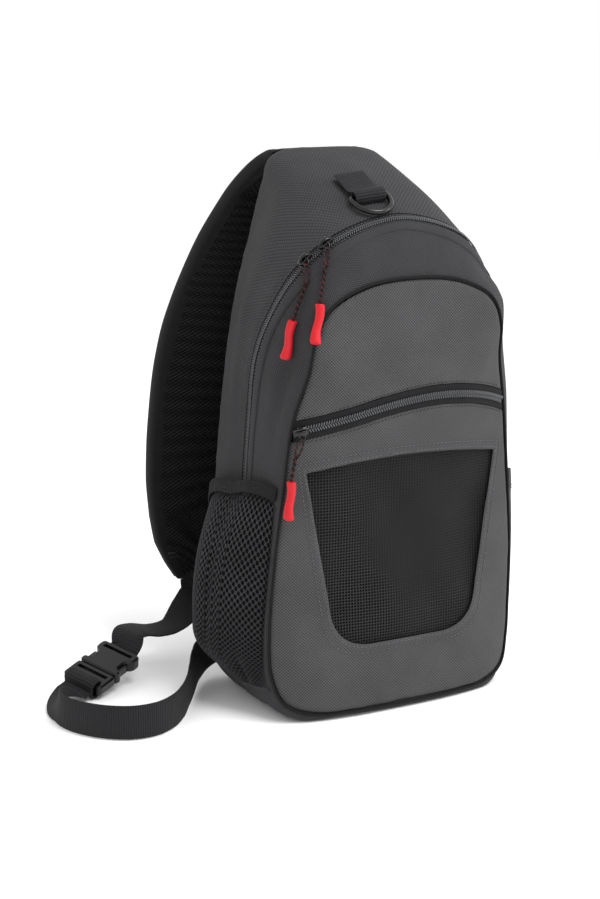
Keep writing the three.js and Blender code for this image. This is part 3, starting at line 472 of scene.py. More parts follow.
def joined(name, parts, material, slot, *nodes):
    """One dressed piece from several small shapes."""
    verts, faces, uvs = merged(parts)
    return dress(mesh_object(name, verts, faces, uvs, [material]), slot, *nodes)


def repeated(shape, centres, axes):
    """Copies of one small shape (verts, faces, uvs) at frames given by centres and 3 axes each."""
    verts, faces, uvs = shape
    count = len(centres)
    moved = centres[:, None] + sum(verts[None, :, k, None] * axes[k][:, None] for k in range(3))
    step = (np.arange(count) * len(verts))[:, None, None]
    out_faces = [(f[None] + step).reshape(-1, f.shape[1]) for f in faces]
    out_uvs = [np.broadcast_to(u[None], (count,) + u.shape).reshape(-1, u.shape[1], 2) for u in uvs]
    return moved.reshape(-1, 3), out_faces, out_uvs


def bead(length, width, height, sides=6, rings=5, bow=0.0):
    """A small rounded bar along its first axis, as a stitch or a zip tooth."""
    turn = np.linspace(0.12 * math.pi, 0.88 * math.pi, rings)
    path = np.stack([-np.cos(turn) * length / 2, 0 * turn, bow * (np.sin(turn) - 0.5)], 1)
    thick = np.sin(turn) ** 0.5
    section = circle(1, sides) * [width / 2, height / 2]
    return sweep(path, section, up=np.tile([0.0, 0.0, 1.0], (rings, 1)), scale=thick)


def resample(path, step):
    far = distances(path)
    count = max(int(far[-1] // step), 2)
    at = np.linspace(0, far[-1], count + 1)
    return between(at, far, path)


def stitch_run(path, up, length=2.3, pitch=3.3, width=0.62, height=0.5, lift=0.12):
    """A row of stitches on a path; up gives the cloth's normals at the path's points."""
    far = distances(path)
    at = np.arange(pitch / 2, far[-1], pitch)
    centres = between(at, far, path)
    ups = unit(between(at, far, up))
    ahead = between(at + 1, far, path)
    behind = between(at - 1, far, path)
    tangent = unit(ahead - behind)
    ups = square_to(ups, tangent)
    axes = (tangent, np.cross(ups, tangent), ups)
    return repeated(bead(length, width, height), centres + ups * lift, axes)


# Materials

def linear(color):
    return tuple(((c / 255 + 0.055) / 1.055) ** 2.4 if c > 10 else c / 255 / 12.92 for c in color)


class Paint:
    """A material on the Principled shader, with short names for the nodes that it needs."""

    def __init__(self, name, color, rough, specular=0.5, sheen=0.0, coat=0.0):
        self.material = bpy.data.materials.new(name)
        self.material.use_nodes = True
        self.tree = self.material.node_tree
        self.surface = self.tree.nodes["Principled BSDF"]
        self.color = linear(color)
        values = {"Base Color": (*self.color, 1), "Roughness": rough,
                  "Specular IOR Level": specular, "Sheen Weight": sheen, "Coat Weight": coat}
        for key, value in values.items():
            self.surface.inputs[key].default_value = value
        self.links = self.tree.links

    def put(self, kind, *values, **settings):
        node = self.tree.nodes.new(kind)
        for key, value in settings.items():
            setattr(node, key, value)
        for socket, value in zip(node.inputs, values):
            if value is None:
                continue
            if isinstance(value, bpy.types.NodeSocket):
                self.links.new(value, socket)
            else:
                socket.default_value = value
        return node

    def math(self, operation, *values, clamp=False):
        return self.put("ShaderNodeMath", *values, operation=operation, use_clamp=clamp).outputs[0]

    def uv(self):
        coordinates = self.put("ShaderNodeUVMap", uv_map="UVMap").outputs[0]
        parts = self.put("ShaderNodeSeparateXYZ", coordinates)
        return parts.outputs[0], parts.outputs[1]

    def place(self):
        return self.put("ShaderNodeTexCoord").outputs["Object"]

    def wave(self, value, pitch, phase=0.0):
        turned = self.math("MULTIPLY_ADD", value, 2 * math.pi / (pitch * MM), phase)
        return self.math("SINE", turned)

    def lumps(self, size, detail=2.0):
        node = self.put("ShaderNodeTexNoise")
        self.links.new(self.place(), node.inputs["Vector"])
        node.inputs["Scale"].default_value = 1 / (size * MM)
        node.inputs["Detail"].default_value = detail
        return node.outputs[0]

    def tint(self, factor, low, high):
        """From low to high by a factor: each a share of the paint's own colour, or a colour."""
        node = self.put("ShaderNodeMix", data_type="RGBA")
        self.links.new(factor, node.inputs["Factor"])
        for socket, share in ((6, low), (7, high)):
            if isinstance(share, tuple):
                color = linear(share)
            else:
                color = tuple(c * share for c in self.color)
            node.inputs[socket].default_value = (*color, 1)
        return node.outputs[2]

    def colored(self, factor, low, high):
        self.links.new(self.tint(factor, low, high), self.surface.inputs["Base Color"])

    def roughened(self, factor, low, high):
        node = self.put("ShaderNodeMapRange", factor, 0.0, 1.0, low, high)
        self.links.new(node.outputs[0], self.surface.inputs["Roughness"])

    def bumped(self, height, distance):
        node = self.put("ShaderNodeBump")
        node.inputs["Strength"].default_value = 1.0
        node.inputs["Distance"].default_value = distance * MM
        self.links.new(height, node.inputs["Height"])
        self.links.new(node.outputs[0], self.surface.inputs["Normal"])


def woven(name, color, pitch, contrast=0.2, depth=0.2):
    """Plain-woven cloth: crossing threads, uneven dye and a little lint."""
    rough = 0.86
    paint = Paint(name, color, rough, specular=0.16, sheen=0.04)
    u, v = paint.uv()
    threads = paint.math("MULTIPLY", paint.wave(u, pitch), paint.wave(v, pitch))
    uneven = paint.lumps(38, 3.0)
    lint = paint.lumps(0.9, 2.0)
    height = paint.math("MULTIPLY_ADD", threads, 0.5, lint)
    shade = paint.math("MULTIPLY_ADD", threads, contrast, paint.math("MULTIPLY", uneven, 0.6))
    shade = paint.math("MULTIPLY_ADD", lint, 0.35, shade)
    paint.colored(paint.math("ADD", shade, 0.025, clamp=True), 0.5, 1.5)
    paint.roughened(lint, rough - 0.08, rough + 0.08)
    paint.bumped(height, depth)
    return paint.material


def ribbed(name, color, pitch, depth):
    """Webbing or tape: ribs across its length with a fine weave on them."""
    paint = Paint(name, color, 0.75, specular=0.2, sheen=0.02)
    u, v = paint.uv()
    ribs = paint.math("ABSOLUTE", paint.wave(u, 2 * pitch))
    fine = paint.wave(v, pitch * 0.6)
    lint = paint.lumps(1.2, 2.0)
    height = paint.math("MULTIPLY_ADD", fine, 0.2, ribs)
    shade = paint.math("MULTIPLY_ADD", ribs, 0.55, paint.math("MULTIPLY", lint, 0.5))
    paint.colored(shade, 0.3, 1.9)
    paint.bumped(height, depth)
    return paint.material


def spacer_mesh(name, color):
    """Padding mesh with slanting rows of small oval holes."""
    paint = Paint(name, color, 0.8, specular=0.15)
    u, v = paint.uv()
    slant = paint.math("MULTIPLY_ADD", u, 0.55, v)
    other = paint.math("MULTIPLY_ADD", u, -0.9, v)
    rows = paint.wave(slant, 2.9)
    cells = paint.wave(other, 3.6)
    holes = paint.math("MULTIPLY_ADD", cells, 0.45, rows)
    raised = paint.math("MULTIPLY_ADD", holes, 0.5, 0.35, clamp=True)
    paint.colored(raised, 0.12, 1.9)
    paint.bumped(raised, 0.9)
    return paint.material


def moulded(name, color, rough, coat=0.0, grain=0.03, specular=0.5):
    """Plastic, enamel or rubber: a fine grain and broad uneven gloss."""
    paint = Paint(name, color, rough, specular=specular, coat=coat)
    fine = paint.lumps(0.7, 3.0)
    broad = paint.lumps(9, 3.0)
    paint.colored(broad, 0.8, 1.2)
    paint.roughened(broad, max(rough - 0.06, 0.02), rough + 0.1)
    paint.bumped(fine, grain)
    return paint.material


def knitted(name, color):
    """Net yarn: fine loops along the bars and uneven sheen."""
    paint = Paint(name, color, 0.7, specular=0.25, sheen=0.03)
    u, v = paint.uv()
    loops = paint.math("MULTIPLY", paint.wave(u, 0.55), paint.wave(v, 0.55))
    uneven = paint.lumps(22, 2.0)
    paint.colored(paint.math("MULTIPLY_ADD", loops, 0.15, uneven, clamp=True), 0.65, 1.4)
    paint.bumped(loops, 0.12)
    return paint.material


def flecked_cord(name, color, fleck):
    paint = Paint(name, color, 0.75, specular=0.35)
    u, v = paint.uv()
    twist = paint.math("MULTIPLY_ADD", v, 2.2, u)
    strands = paint.wave(twist, 1.9)
    back = paint.wave(paint.math("MULTIPLY_ADD", v, -2.2, u), 1.9)
    marks = paint.wave(u, 4.4)
    uneven = paint.math("MULTIPLY_ADD", paint.lumps(2.6), 1.6, strands)
    shown = paint.math("GREATER_THAN", paint.math("MULTIPLY_ADD", marks, 0.5, uneven), 1.85)
    paint.colored(shown, 1.0, fleck)
    paint.bumped(paint.math("MAXIMUM", strands, back), 0.18)
    return paint.material


GREY = woven("cloth_grey", (66, 66, 67), pitch=2.2, contrast=0.6, depth=0.35)
# SIDE is the grey cloth darkened: a little of it is the cloth's own tone, the rest is painted shade
# of the side walls, which face away from the key light.
SIDE = woven("cloth_side_shaded", (49, 48, 50), pitch=2.2, contrast=0.5, depth=0.35)
FACING = woven("cloth_facing", (48, 48, 50), pitch=1.6)
LINING = woven("cloth_lining", (7, 7, 7), pitch=0.9, contrast=0.3)
SPACER = spacer_mesh("spacer_mesh", (22, 21, 23))
TAPE = ribbed("tape_black", (16, 16, 18), pitch=0.8, depth=0.12)
BINDING = ribbed("binding_black", (9, 9, 10), pitch=0.9, depth=0.1)
WEBBING = ribbed("webbing_black", (25, 25, 27), pitch=1.7, depth=0.45)
ELASTIC = ribbed("elastic_band", (18, 18, 19), pitch=1.5, depth=0.45)
COIL = moulded("coil_nylon", (72, 73, 75), 0.35, specular=0.5)
PLASTIC = moulded("buckle_plastic", (8, 8, 9), 0.32, grain=0.02, specular=0.35)
METAL = moulded("slider_enamel", (8, 8, 9), 0.22, coat=0.15, grain=0.01, specular=0.35)
RED = moulded("tip_rubber", (186, 20, 30), 0.45, grain=0.02, specular=0.3)
NET_GREY = knitted("net_grey", (52, 51, 54))
NET_BLACK = knitted("net_black", (36, 36, 37))
THREAD = knitted("thread_grey", (92, 92, 96))
THREAD_DARK = knitted("thread_dark", (30, 30, 32))
CORD = flecked_cord("cord_flecked", (18, 11, 12), (112, 24, 28))


# Zip sliders' frames, pull cords and rubber tips

def main_slider_frame(t):
    up = skin_normal(t, 0.0)
    at = skin(t, 0.0) + up * (coil_thickness + 4 * gap - 0.2)
    ahead = catmull(ZIP, t + 1e-4, True) - catmull(ZIP, t - 1e-4, True)
    forward = unit(ahead - up * (ahead @ up))
    return at, np.stack([forward, np.cross(up, forward), up])


def front_slider_frame(x=-84.5, step=4.0):
    outset = tape_thickness + coil_thickness + 4 * gap
    at = face_point(x, zip_line(x), outset)
    forward = unit(face_point(x + step, zip_line(x + step), outset) - at)
    above = face_point(x, zip_line(x) + step, outset)
    up = unit(np.cross(forward, above - at))
    return at, np.stack([forward, np.cross(up, forward), up])


def zip_line(x):
    share = x / half_width
    lean = front_zip_lean * share * (1 - share ** 2)
    return front_zip_height - front_zip_rise * share ** 2 + lean


# name, slider's frame, side of the slider, places along the cord, tip's lower end, tip's bow
PULLS = (
    ("main_a", main_slider_frame(place_on(11.36, -1)), 1,
     [(-75, -62.5, 318.5), (-79.5, -61.5, 305), (-84.6, -61, 291)],
     (-88.6, -56, 263.5), (-0.7, 0.3, 0)),
    ("main_b", main_slider_frame(place_on(11.83, -1)), 1,
     [(-63.5, -69, 329.5), (-68, -73, 317.5), (-74, -79.5, 304)],
     (-80, -84.5, 277), (0.8, -0.2, 0)),
    ("front", front_slider_frame(), -1,
     [(-88, -75, 203), (-90.5, -74, 194), (-92.5, -72.5, 181)], (-94, -72, 153), (0.8, 0, 0)),
)
# strand's radius, length of the open loop above the knot, pitch of the twist
STRAND, LOOP_LENGTH, TWIST = 0.72, 15.0, 9.0
TIP_SIDES, TIP_ROWS, KNOT_STEPS = 20, 45, 34
# share of the tip's radius, share of its length
TIP_PROFILE = [(0, 0.0), (0.5, 0), (0.88, 0.01), (0.94, 0.04),
               (0.9, 0.2), (0.85, 0.45), (0.88, 0.65),
               (1.02, 0.82), (1.12, 0.92), (1.0, 0.975), (0.7, 0.995), (0, 1.0)]


def make_tip(name, start, low, bow):
    last = len(TIP_PROFILE) - 1
    radius, share = between(np.linspace(0, last, TIP_ROWS), range(last + 1), TIP_PROFILE).T
    bend = np.array(bow) * np.sin(2 * math.pi * share)[:, None]
    path = start + (low - start) * share[:, None] + bend
    axis = unit(low - start)
    side = unit(np.cross(axis, [0.0, 1.0, 0.0]))
    turn = full_turn(TIP_SIDES)
    out = side * np.cos(turn)[:, None] + np.cross(side, axis) * np.sin(turn)[:, None]
    P = path[:, None] + out[None] * (tip_radius * np.maximum(radius, 0.01))[:, None, None]
    uv = arc_uv(P, True)
    faces, uvs = grid_faces(P[1:-1], True, uv[1:-1])
    verts = P[1:-1].reshape(-1, 3)
    fans = end_fans(TIP_SIDES, len(verts))
    ends = np.vstack([verts, path[:1], path[-1:]])
    piece = mesh_object(name + "_rubber_tip", ends, [faces, fans],
                        [uvs, np.zeros((len(fans), 3, 2))], [RED], sharp=60)
    return dress(piece, "red_rubber", name + "_pull_tip")


def make_pull(name, slider, side, places, low, bow):
    at, axes = slider
    reach = 0.38 * slider_width + pull_cord_radius + gap
    start = at + np.array([1, side * reach, slider_height / 2]) @ axes
    control = np.vstack([start, places])
    low = np.array(low, float)
    end = control[-1] + unit(low - control[-1]) * gap
    path = resample(catmull(control, np.linspace(0, 1, 200), False), 0.8)
    far = np.linspace(0, 1, len(path)) * np.linalg.norm(np.diff(path, axis=0), axis=1).sum()
    tangent, across, up = frames_along(path, np.tile([0.0, -1.0, 0.0], (len(path), 1)))
    opening = np.clip(far / LOOP_LENGTH, 0, 1)
    spread = STRAND * 1.05 + 1.5 * np.sin(opening * math.pi) ** 0.9
    turn = 2 * math.pi * np.maximum(far - LOOP_LENGTH, 0) / TWIST
    parts = []
    for phase in (0, math.pi):
        out = across * np.cos(turn + phase)[:, None] + up * np.sin(turn + phase)[:, None]
        strand = path + out * spread[:, None]
        parts.append(sweep(strand, circle(STRAND, 8), up=tangent * 0.001 + up))
    knot_turn = np.linspace(0, 2.6 * math.pi, KNOT_STEPS)
    place = np.interp(LOOP_LENGTH + np.linspace(-1.8, 2.2, KNOT_STEPS), far, np.arange(len(path)))
    place = place.astype(int)
    ring = across[place] * np.cos(knot_turn)[:, None] + up[place] * np.sin(knot_turn)[:, None]
    slide = tangent[place] * np.linspace(-0.9, 1.1, KNOT_STEPS)[:, None]
    parts.append(sweep(path[place] + ring * 1.35 + slide, circle(STRAND, 7)))
    piece = joined(name + "_twisted_cord", parts, CORD, "pull_cord", name + "_pull_cord")
    tip = make_tip(name, end, low, bow)


for pull in PULLS:
    make_pull(*pull)


# Floor, light

def add_floor():
    half, level = 90000, -0.4
    P = np.array([[[x, y, level] for x in (-half, half)] for y in (-half, half)], float)
    uv = P[..., :2] * MM
    faces, uvs = grid_faces(P, False, uv)
    paint = Paint("floor_white", (255, 255, 255), 0.8, specular=0.0)
    paint.colored(paint.lumps(600, 1.0), 0.995, 1.0)
    mesh_object("floor", P.reshape(-1, 3), [faces], [uvs], [paint.material])


def add_area(name, place, aim, size, energy):
    data = bpy.data.lights.new(name, "AREA")
    data.shape = "RECTANGLE"
    data.size, data.size_y = size
    data.energy = energy
    lamp = bpy.data.objects.new(name, data)
    lamp.location = place
    way = Vector(aim) - Vector(place)
    lamp.rotation_mode = "QUATERNION"
    lamp.rotation_quaternion = way.to_track_quat("-Z", "Y")
    scene.collection.objects.link(lamp)


def add_lights():
    world = bpy.data.worlds.new("studio")
    scene.world = world
    world.use_nodes = True
    background = world.node_tree.nodes["Background"]
    background.inputs[0].default_value = (1, 1, 1, 1)
    background.inputs[1].default_value = 1.0
    middle = (0, 0, 0.2)
    add_area("key", (0.35, -1.3, 2.3), middle, (1.3, 1.3), 44)
    add_area("fill", (1.6, -1.0, 1.0), middle, (1.0, 1.4), 12)
    scene.view_settings.view_transform = "Standard"
    scene.view_settings.look = "None"


add_floor()
add_lights()


# The two halves of the bag

AROUND = 340


def smoothed(P, rows, times=6):
    for _ in range(times):
        for r in rows:
            P[r] = 0.25 * P[r - 1] + 0.5 * P[r] + 0.25 * P[r + 1]
    return P


def puckered(P, wrap, amount, seed, size=46, near=None):
    """Uneven cloth: soft waves, and fine puckers where `near` is close to 1."""
    normals = grid_normals(P, wrap)
    wave = amount * noise(P, size, seed)
    if near is not None:
        wave = wave + 0.32 * near * noise(P, 7, seed + 1)
    return P + normals * wave[..., None]


def zip_edges(t, direction):
    half = main_zip_width / 2 * row_value(t, 10, 10) + gap
    return direction * half / zip_reach(t, direction)


def make_rear():
    t = np.arange(AROUND) / AROUND
    k = np.linspace(0, 1, 36)[:, None]
    along = zip_edges(t, -1)[None] * (1 - k) - k
    side = skin(np.broadcast_to(t, along.shape), along)
    edge = skin(t, -np.ones(AROUND))
    share = np.concatenate([[0.985, 0.965], np.linspace(0.94, 0.03, 22)])[:, None]
    x, z = edge[None, :, 0] * share, edge[None, :, 2] - bag_height / 2
    back = np.stack([x, back_depth + back_dome * (1 - share ** 2) + 0 * x,
                     bag_height / 2 + z * share], -1)
    P = np.concatenate([side, back])
    corner = len(side) - 1
    P = smoothed(P, range(corner - 2, corner + 3), 5)
    row = np.arange(len(P))
    near = np.exp(-((row - corner) / 2.5) ** 2) + np.exp(-(row / 2.0) ** 2)
    bent = puckered(P, True, 0.55, 11, near=near[:, None])
    bent[..., 2] = np.maximum(bent[..., 2], 0)
    P[2:] = bent[2:]
    uv = arc_uv(P, True)
    faces, uvs = grid_faces(P, True, uv)
    faces, uvs = faces[:, ::-1], uvs[:, ::-1]
    centre = len(P) * AROUND
    verts = np.vstack([P.reshape(-1, 3), [[0, back_depth + back_dome, bag_height / 2]]])
    cap = fan(centre - AROUND, AROUND, centre, True)
    cap_uv = verts[cap][..., [0, 2]] * MM
    verts, faces, uvs = shell(verts, [faces, cap], [uvs, cap_uv], cloth)
    piece = mesh_object("rear_cloth", verts, faces, uvs, [SIDE], sharp=55)
    return dress(piece, "side_cloth", "rear_shell")


def toe(P, t, along):
    """The base's front edge swells forward under the seam."""
    row, _ = row_of(t)
    low = np.clip((3.6 - row) / 1.8, 0, 1)
    low = (3 - 2 * low) * low ** 2
    place = np.clip((along - 0.55) / 0.45, 0, 1)
    swell = low * np.sin(math.pi * place ** 1.3)
    P[..., 1] -= 7.0 * swell
    P[..., 2] = P[..., 2] * (1 - 0.75 * swell)
    return P


def make_front():
    t = np.arange(AROUND) / AROUND
    k = np.linspace(0, 1, 44)[:, None]
    along = zip_edges(t, 1)[None] * (1 - k) + k
    grid_t = np.broadcast_to(t, along.shape)
    side = toe(skin(grid_t, along), grid_t, along)
    edge = catmull(SEAM, t, True)
    share = np.concatenate([[0.985, 0.965, 0.945], np.linspace(0.92, 0.03, 20)])[:, None]
    x = edge[None, :, 0] * share
    z = FACE_CENTRE + (edge[None, :, 2] - FACE_CENTRE) * share
    recess = divider_recess * np.minimum(1, (1 - share) / (1 - panel_inset) / 3)
    middle = front_depth * np.interp(z / bag_height, MIDDLE_UP, MIDDLE_FORWARD)
    depth = middle + (-edge[None, :, 1] - middle) * share ** 3
    face = np.stack([x, -depth + recess, z], -1)
    P = np.concatenate([side, face])
    corner = len(side) - 1
    near = np.exp(-((np.arange(len(P)) - corner) / 3.0) ** 2)
    bent = puckered(P, True, 0.5, 23, near=near[:, None])
    bent[..., 2] = np.maximum(bent[..., 2], 0)
    P[2:corner] = bent[2:corner]
    uv = arc_uv(P, True)
    faces, uvs = grid_faces(P, True, uv)
    centre = len(P) * AROUND
    top = front_depth * np.interp(FACE_CENTRE / bag_height, MIDDLE_UP, MIDDLE_FORWARD)
    verts = np.vstack([P.reshape(-1, 3), [[0, -top + divider_recess, FACE_CENTRE]]])
    cap = fan(centre - AROUND, AROUND, centre)
    cap_uv = verts[cap][..., [0, 2]] * MM
    inner_rows = np.arange(len(faces)) // AROUND > corner
    verts, all_faces, all_uvs = shell(verts, [faces, cap], [uvs, cap_uv], cloth)
    index = np.ones(sum(len(part) for part in all_faces))
    index[:len(faces)] = inner_rows
    piece = mesh_object("front_cloth", verts, all_faces, all_uvs, [SIDE, LINING],
                        index=index, sharp=55)
    return dress(piece, "side_cloth", "front_shell")


make_rear()
make_front()


# Main zip: tape, teeth, the facing along its front edge, stitching

ZIP_END = 6.35


def zip_samples(count):
    return np.linspace(place_on(ZIP_END, 1), place_on(ZIP_END, -1), count)


def beside_zip(t, width, lift):
    """Points at `width` from the zip line, towards the front seam where positive."""
    width = np.broadcast_to(np.asarray(width, float), t.shape)
    reach = np.where(width < 0, zip_reach(t, -1), zip_reach(t, 1))
    return skin(t, width / reach) + skin_normal(t, 0 * t) * np.asarray(lift)[..., None]


def make_main_zip():
    t = zip_samples(460)
    open_half = main_zip_width / 2 * row_value(t, 10, 10)
    columns = np.linspace(-1, 1, 9)
    P = np.stack([beside_zip(t, (open_half - 2 * gap) * c, np.full(len(t), -0.1)) for c in columns])
    uv = arc_uv(P, False)
    dress(cloth_grid("main_zip_woven_tape", P, [TAPE], 1.0, uv=uv), "zip_tape", "main_zip_tape")

    pitch, inner = 1.7, t[6:-6]
    path = resample(beside_zip(inner, 0, np.full(len(inner), 0.55)), pitch)
    away = resample(beside_zip(inner, 0, np.full(len(inner), 4.0)), pitch)
    count = min(len(path), len(away))
    path = path[:count]
    tangent = unit(np.gradient(path, axis=0))
    far = distances(beside_zip(t, 0, 0 * t))
    ups = skin_normal(t, 0 * t)
    at = np.linspace(0, far[-1], count)
    up = unit(between(at, far, ups))
    up = square_to(up, tangent)
    side = np.cross(up, tangent)
    add_teeth("main_zip", path, tangent, side, up, 4.2, pitch)

    rows = []
    for direction, offset in ((1, 3.5), (-1, 3.5), (1, 4.4)):
        keep = open_half > offset + 0.3
        line = beside_zip(t[keep], direction * offset, np.full(keep.sum(), 0.0))
        rows.append(stitch_run(line, skin_normal(t[keep], 0 * t[keep]), 1.6, 2.6, 0.5, 0.4, 0.1))
    joined("main_zip_stitches", rows, THREAD, "grey_cloth")

    t = np.linspace(place_on(6.7, 1), place_on(6.7, -1), 460)
    open_half = main_zip_width / 2 * row_value(t, 10, 10)
    profile = [(0.1, -0.2), (0.25, 0.75), (1.2, 1.05), (3.5, 1.0),
               (6.0, 1.0), (7.6, 1.05), (8.5, 0.7), (8.7, -0.2)]
    P = np.stack([beside_zip(t, open_half + w, np.full(len(t), h)) for w, h in profile])
    P[2:-2] = puckered(P, False, 0.25, 5, size=20)[2:-2]
    dress(cloth_grid("main_zip_facing", P, [FACING], 0.9), "side_cloth")


def add_teeth(name, path, tangent, side, up, width, pitch):
    """Two rows of slanting coil loops that meet in the middle."""
    parts = []
    for way in (-1, 1):
        shape = bead(width * 0.56, pitch * 0.62, 1.25, sides=6, rings=6, bow=0.35)
        lean = unit(side + tangent * 0.45 * way)
        across = np.cross(up, lean)
        centre = path + side * way * width * 0.24 + tangent * pitch * 0.25 * way
        parts.append(repeated(shape, centre, (lean, across, up)))
    joined(name + "_teeth", parts, COIL, "zip_coil", name + "_coil")


make_main_zip()


# Piping along the front seam

def make_piping():
    t = np.arange(460) / 460
    path = catmull(SEAM, t, True) + [0, -(piping_radius + gap - 0.2), 0]
    path[:, 2] = np.maximum(path[:, 2], piping_radius + 0.1)
    up = np.tile([0.0, -1.0, 0.0], (len(path), 1))
    verts, faces, uvs = sweep(path, circle(0.72 * piping_radius, 10), up=up, closed=True)
    dress(mesh_object("seam_cord", verts, faces, uvs, [BINDING]), "zip_tape", "seam_piping")


make_piping()


# Front face: upper panel, pocket panel with its window, front zip

PANEL_SHARE = 0.986
WINDOW_MIDDLE = np.array([0.0, 125.0])


def seam_loop(share):
    return np.stack([EDGE[:, 0] * share, FACE_CENTRE + (EDGE[:, 2] - FACE_CENTRE) * share], 1)


def band_line(offset, share=PANEL_SHARE):
    """The part of the line `offset` above the front zip that lies inside the seam."""
    x = np.linspace(-half_width, half_width, 1601)
    z = zip_line(x) + offset
    inside = face_share(x, z)[0] < share
    return np.stack([x[inside], z[inside]], 1)


def evenly(loop, count):
    closed = np.vstack([loop, loop[:1]])
    far = distances(closed)
    at = np.linspace(0, far[-1], count, endpoint=False)
    return between(at, far, closed)


def upper_loop():
    line = band_line(front_zip_band / 2)
    edge = seam_loop(PANEL_SHARE)
    above = edge[edge[:, 1] > zip_line(edge[:, 0]) + front_zip_band / 2]
    order = np.argsort(np.arctan2(above[:, 1] - FACE_CENTRE, above[:, 0]))
    return np.vstack([line, above[order]])


def lower_loop():
    line = band_line(-front_zip_band / 2)
    edge = seam_loop(PANEL_SHARE)
    below = edge[edge[:, 1] < zip_line(edge[:, 0]) - front_zip_band / 2]
    turn = np.mod(np.arctan2(below[:, 1] - FACE_CENTRE, below[:, 0]) - math.pi / 2, 2 * math.pi)
    order = np.argsort(turn)
    return np.vstack([line[::-1], below[order]])


def rim_distance(loop, centre, turns):
    """How far the loop lies from a centre in each direction."""
    d = loop - centre
    turn = np.arctan2(d[:, 1], d[:, 0])
    order = np.argsort(turn)
    far = np.hypot(d[order, 0], d[order, 1])
    return np.interp(turns, turn[order], far, period=2 * math.pi)


def turned_round(loop, centre, turns):
    """The loop's point in each direction from a centre."""
    far = rim_distance(loop, centre, turns)
    return centre + np.stack([np.cos(turns), np.sin(turns)], 1) * far[:, None]


def window_loop(margin, count=700):
    top, bottom = window_top + margin, window_bottom - margin
    high, low = window_top_half + margin, window_bottom_half + margin
    shoulder = top - window_rise
    steps = np.linspace(0, 1, 60)[:, None]

    def bend(a, b, c):
        a, b, c = (np.array(p, float) for p in (a, b, c))
        return a * (1 - steps) ** 2 + 2 * b * steps * (1 - steps) + c * steps ** 2

    def straight(a, b):
        return np.array(a, float) * (1 - steps) + np.array(b, float) * steps

    loop = np.vstack([
        straight((-low + window_corner, bottom), (low - window_corner, bottom)),
        bend((low - window_corner, bottom), (low, bottom), (low + 2, bottom + window_corner)),
        straight((low + 2, bottom + window_corner), (high, shoulder)),
        bend((high, shoulder), (0, top + window_rise), (-high, shoulder)),
        straight((-high, shoulder), (-low - 2, bottom + window_corner)),
        bend((-low - 2, bottom + window_corner), (-low, bottom), (-low + window_corner, bottom)),
    ])
    keep = np.concatenate([[True], np.linalg.norm(np.diff(loop, axis=0), axis=1) > 1e-6])
    return evenly(loop[keep], count)


def face_normals(points):
    step = 0.5
    x, z = points[:, 0], points[:, 1]
    right = face_point(x + step, z, 0) - face_point(x - step, z, 0)
    up = face_point(x, z + step, 0) - face_point(x, z - step, 0)
    return unit(np.cross(right, up))


def on_face(points, outset):
    return face_point(points[..., 0], points[..., 1], outset)


def soft_face(P, seed, amount, near):
    wave = amount * noise(P, 44, seed) + 0.28 * near * noise(P, 6.5, seed + 3)
    P = P.copy()
    P[..., 1] -= wave
    return P


def capped(P, centre, uv, name, materials, thick):
    rows, columns = P.shape[:2]
    faces, uvs = grid_faces(P, True, uv)
    verts = np.vstack([P.reshape(-1, 3), centre[None]])
    cap = fan((rows - 1) * columns, columns, rows * columns)
    cap_uv = verts[cap][..., [0, 2]] * MM
    verts, faces, uvs = shell(verts, [faces, cap], [uvs, cap_uv], thick)
    return mesh_object(name, verts, faces, uvs, materials, sharp=60)


def flat_uv(P, wrap):
    uv = P[..., [0, 2]] * MM
    return np.concatenate([uv, uv[:, :1]], 1) if wrap else uv


def make_upper_panel():
    loop = evenly(upper_loop(), 460)
    centre = np.array([0.0, 268.0])
    share = np.concatenate([[0, 0.004, 0.012, 0.025], np.linspace(0.05, 0.97, 26)])[:, None, None]
    plan = loop[None] * (1 - share) + centre * share
    edge = np.minimum(np.linalg.norm(plan - loop[None], axis=-1) / 2.2, 1)
    rise = gap + 0.2 + panel_thickness * np.sin(edge * math.pi / 2)
    near = np.exp(-np.linalg.norm(plan - loop[None], axis=-1) / 7)
    P = soft_face(on_face(plan, rise), 31, 0.5, near)
    middle = face_point(0, centre[1], gap + 0.2 + panel_thickness)
    piece = capped(P, middle, flat_uv(P, True), "front_panel_cloth", [GREY], 1.2)
    dress(piece, "grey_cloth", "front_panel")


def make_pocket_panel():
    centre = WINDOW_MIDDLE
    turns = np.linspace(-math.pi, math.pi, 540, endpoint=False)
    outer = turned_round(evenly(lower_loop(), 3000), centre, turns)
    inner = turned_round(window_loop(0, 3000), centre, turns)
    share = np.concatenate([[0, 0.01, 0.03, 0.07], np.linspace(0.13, 0.86, 16),
                            [0.93, 0.97, 0.99, 1.0]])[:, None, None]
    plan = outer[None] * (1 - share) + inner[None] * share
    from_outer = np.linalg.norm(plan - outer[None], axis=-1)
    from_inner = np.linalg.norm(plan - inner[None], axis=-1)
    rise = gap + 0.2 + panel_thickness * np.sin(np.minimum(from_outer / 2.2, 1) * math.pi / 2)
    hem = np.clip(1 - np.abs(from_inner - 2.6) / 3.0, 0, 1)
    rise = rise + 0.55 * hem - 0.5 * np.exp(-from_inner / 0.5)
    near = np.exp(-np.minimum(from_outer, from_inner) / 6)
    P = soft_face(on_face(plan, rise), 41, 0.5, near)
    piece = cloth_grid("pocket_panel_cloth", P, [GREY], 1.2, wrap=True,
                       uv=flat_uv(P, True), sharp=60)
    dress(piece, "grey_cloth", "pocket_panel")
    rows = []
    for margin in (1.9, 6.0):
        line = window_loop(margin, 900)
        line = np.vstack([line, line[:1]])
        path = on_face(line, gap + 0.2 + panel_thickness + 0.1)
        path = soft_face(path, 41, 0.5, np.zeros(len(line)))
        rows.append(stitch_run(path, face_normals(line), 2.2, 3.4, 0.6, 0.5, 0.25))
    joined("window_stitches", rows, THREAD, "grey_cloth")


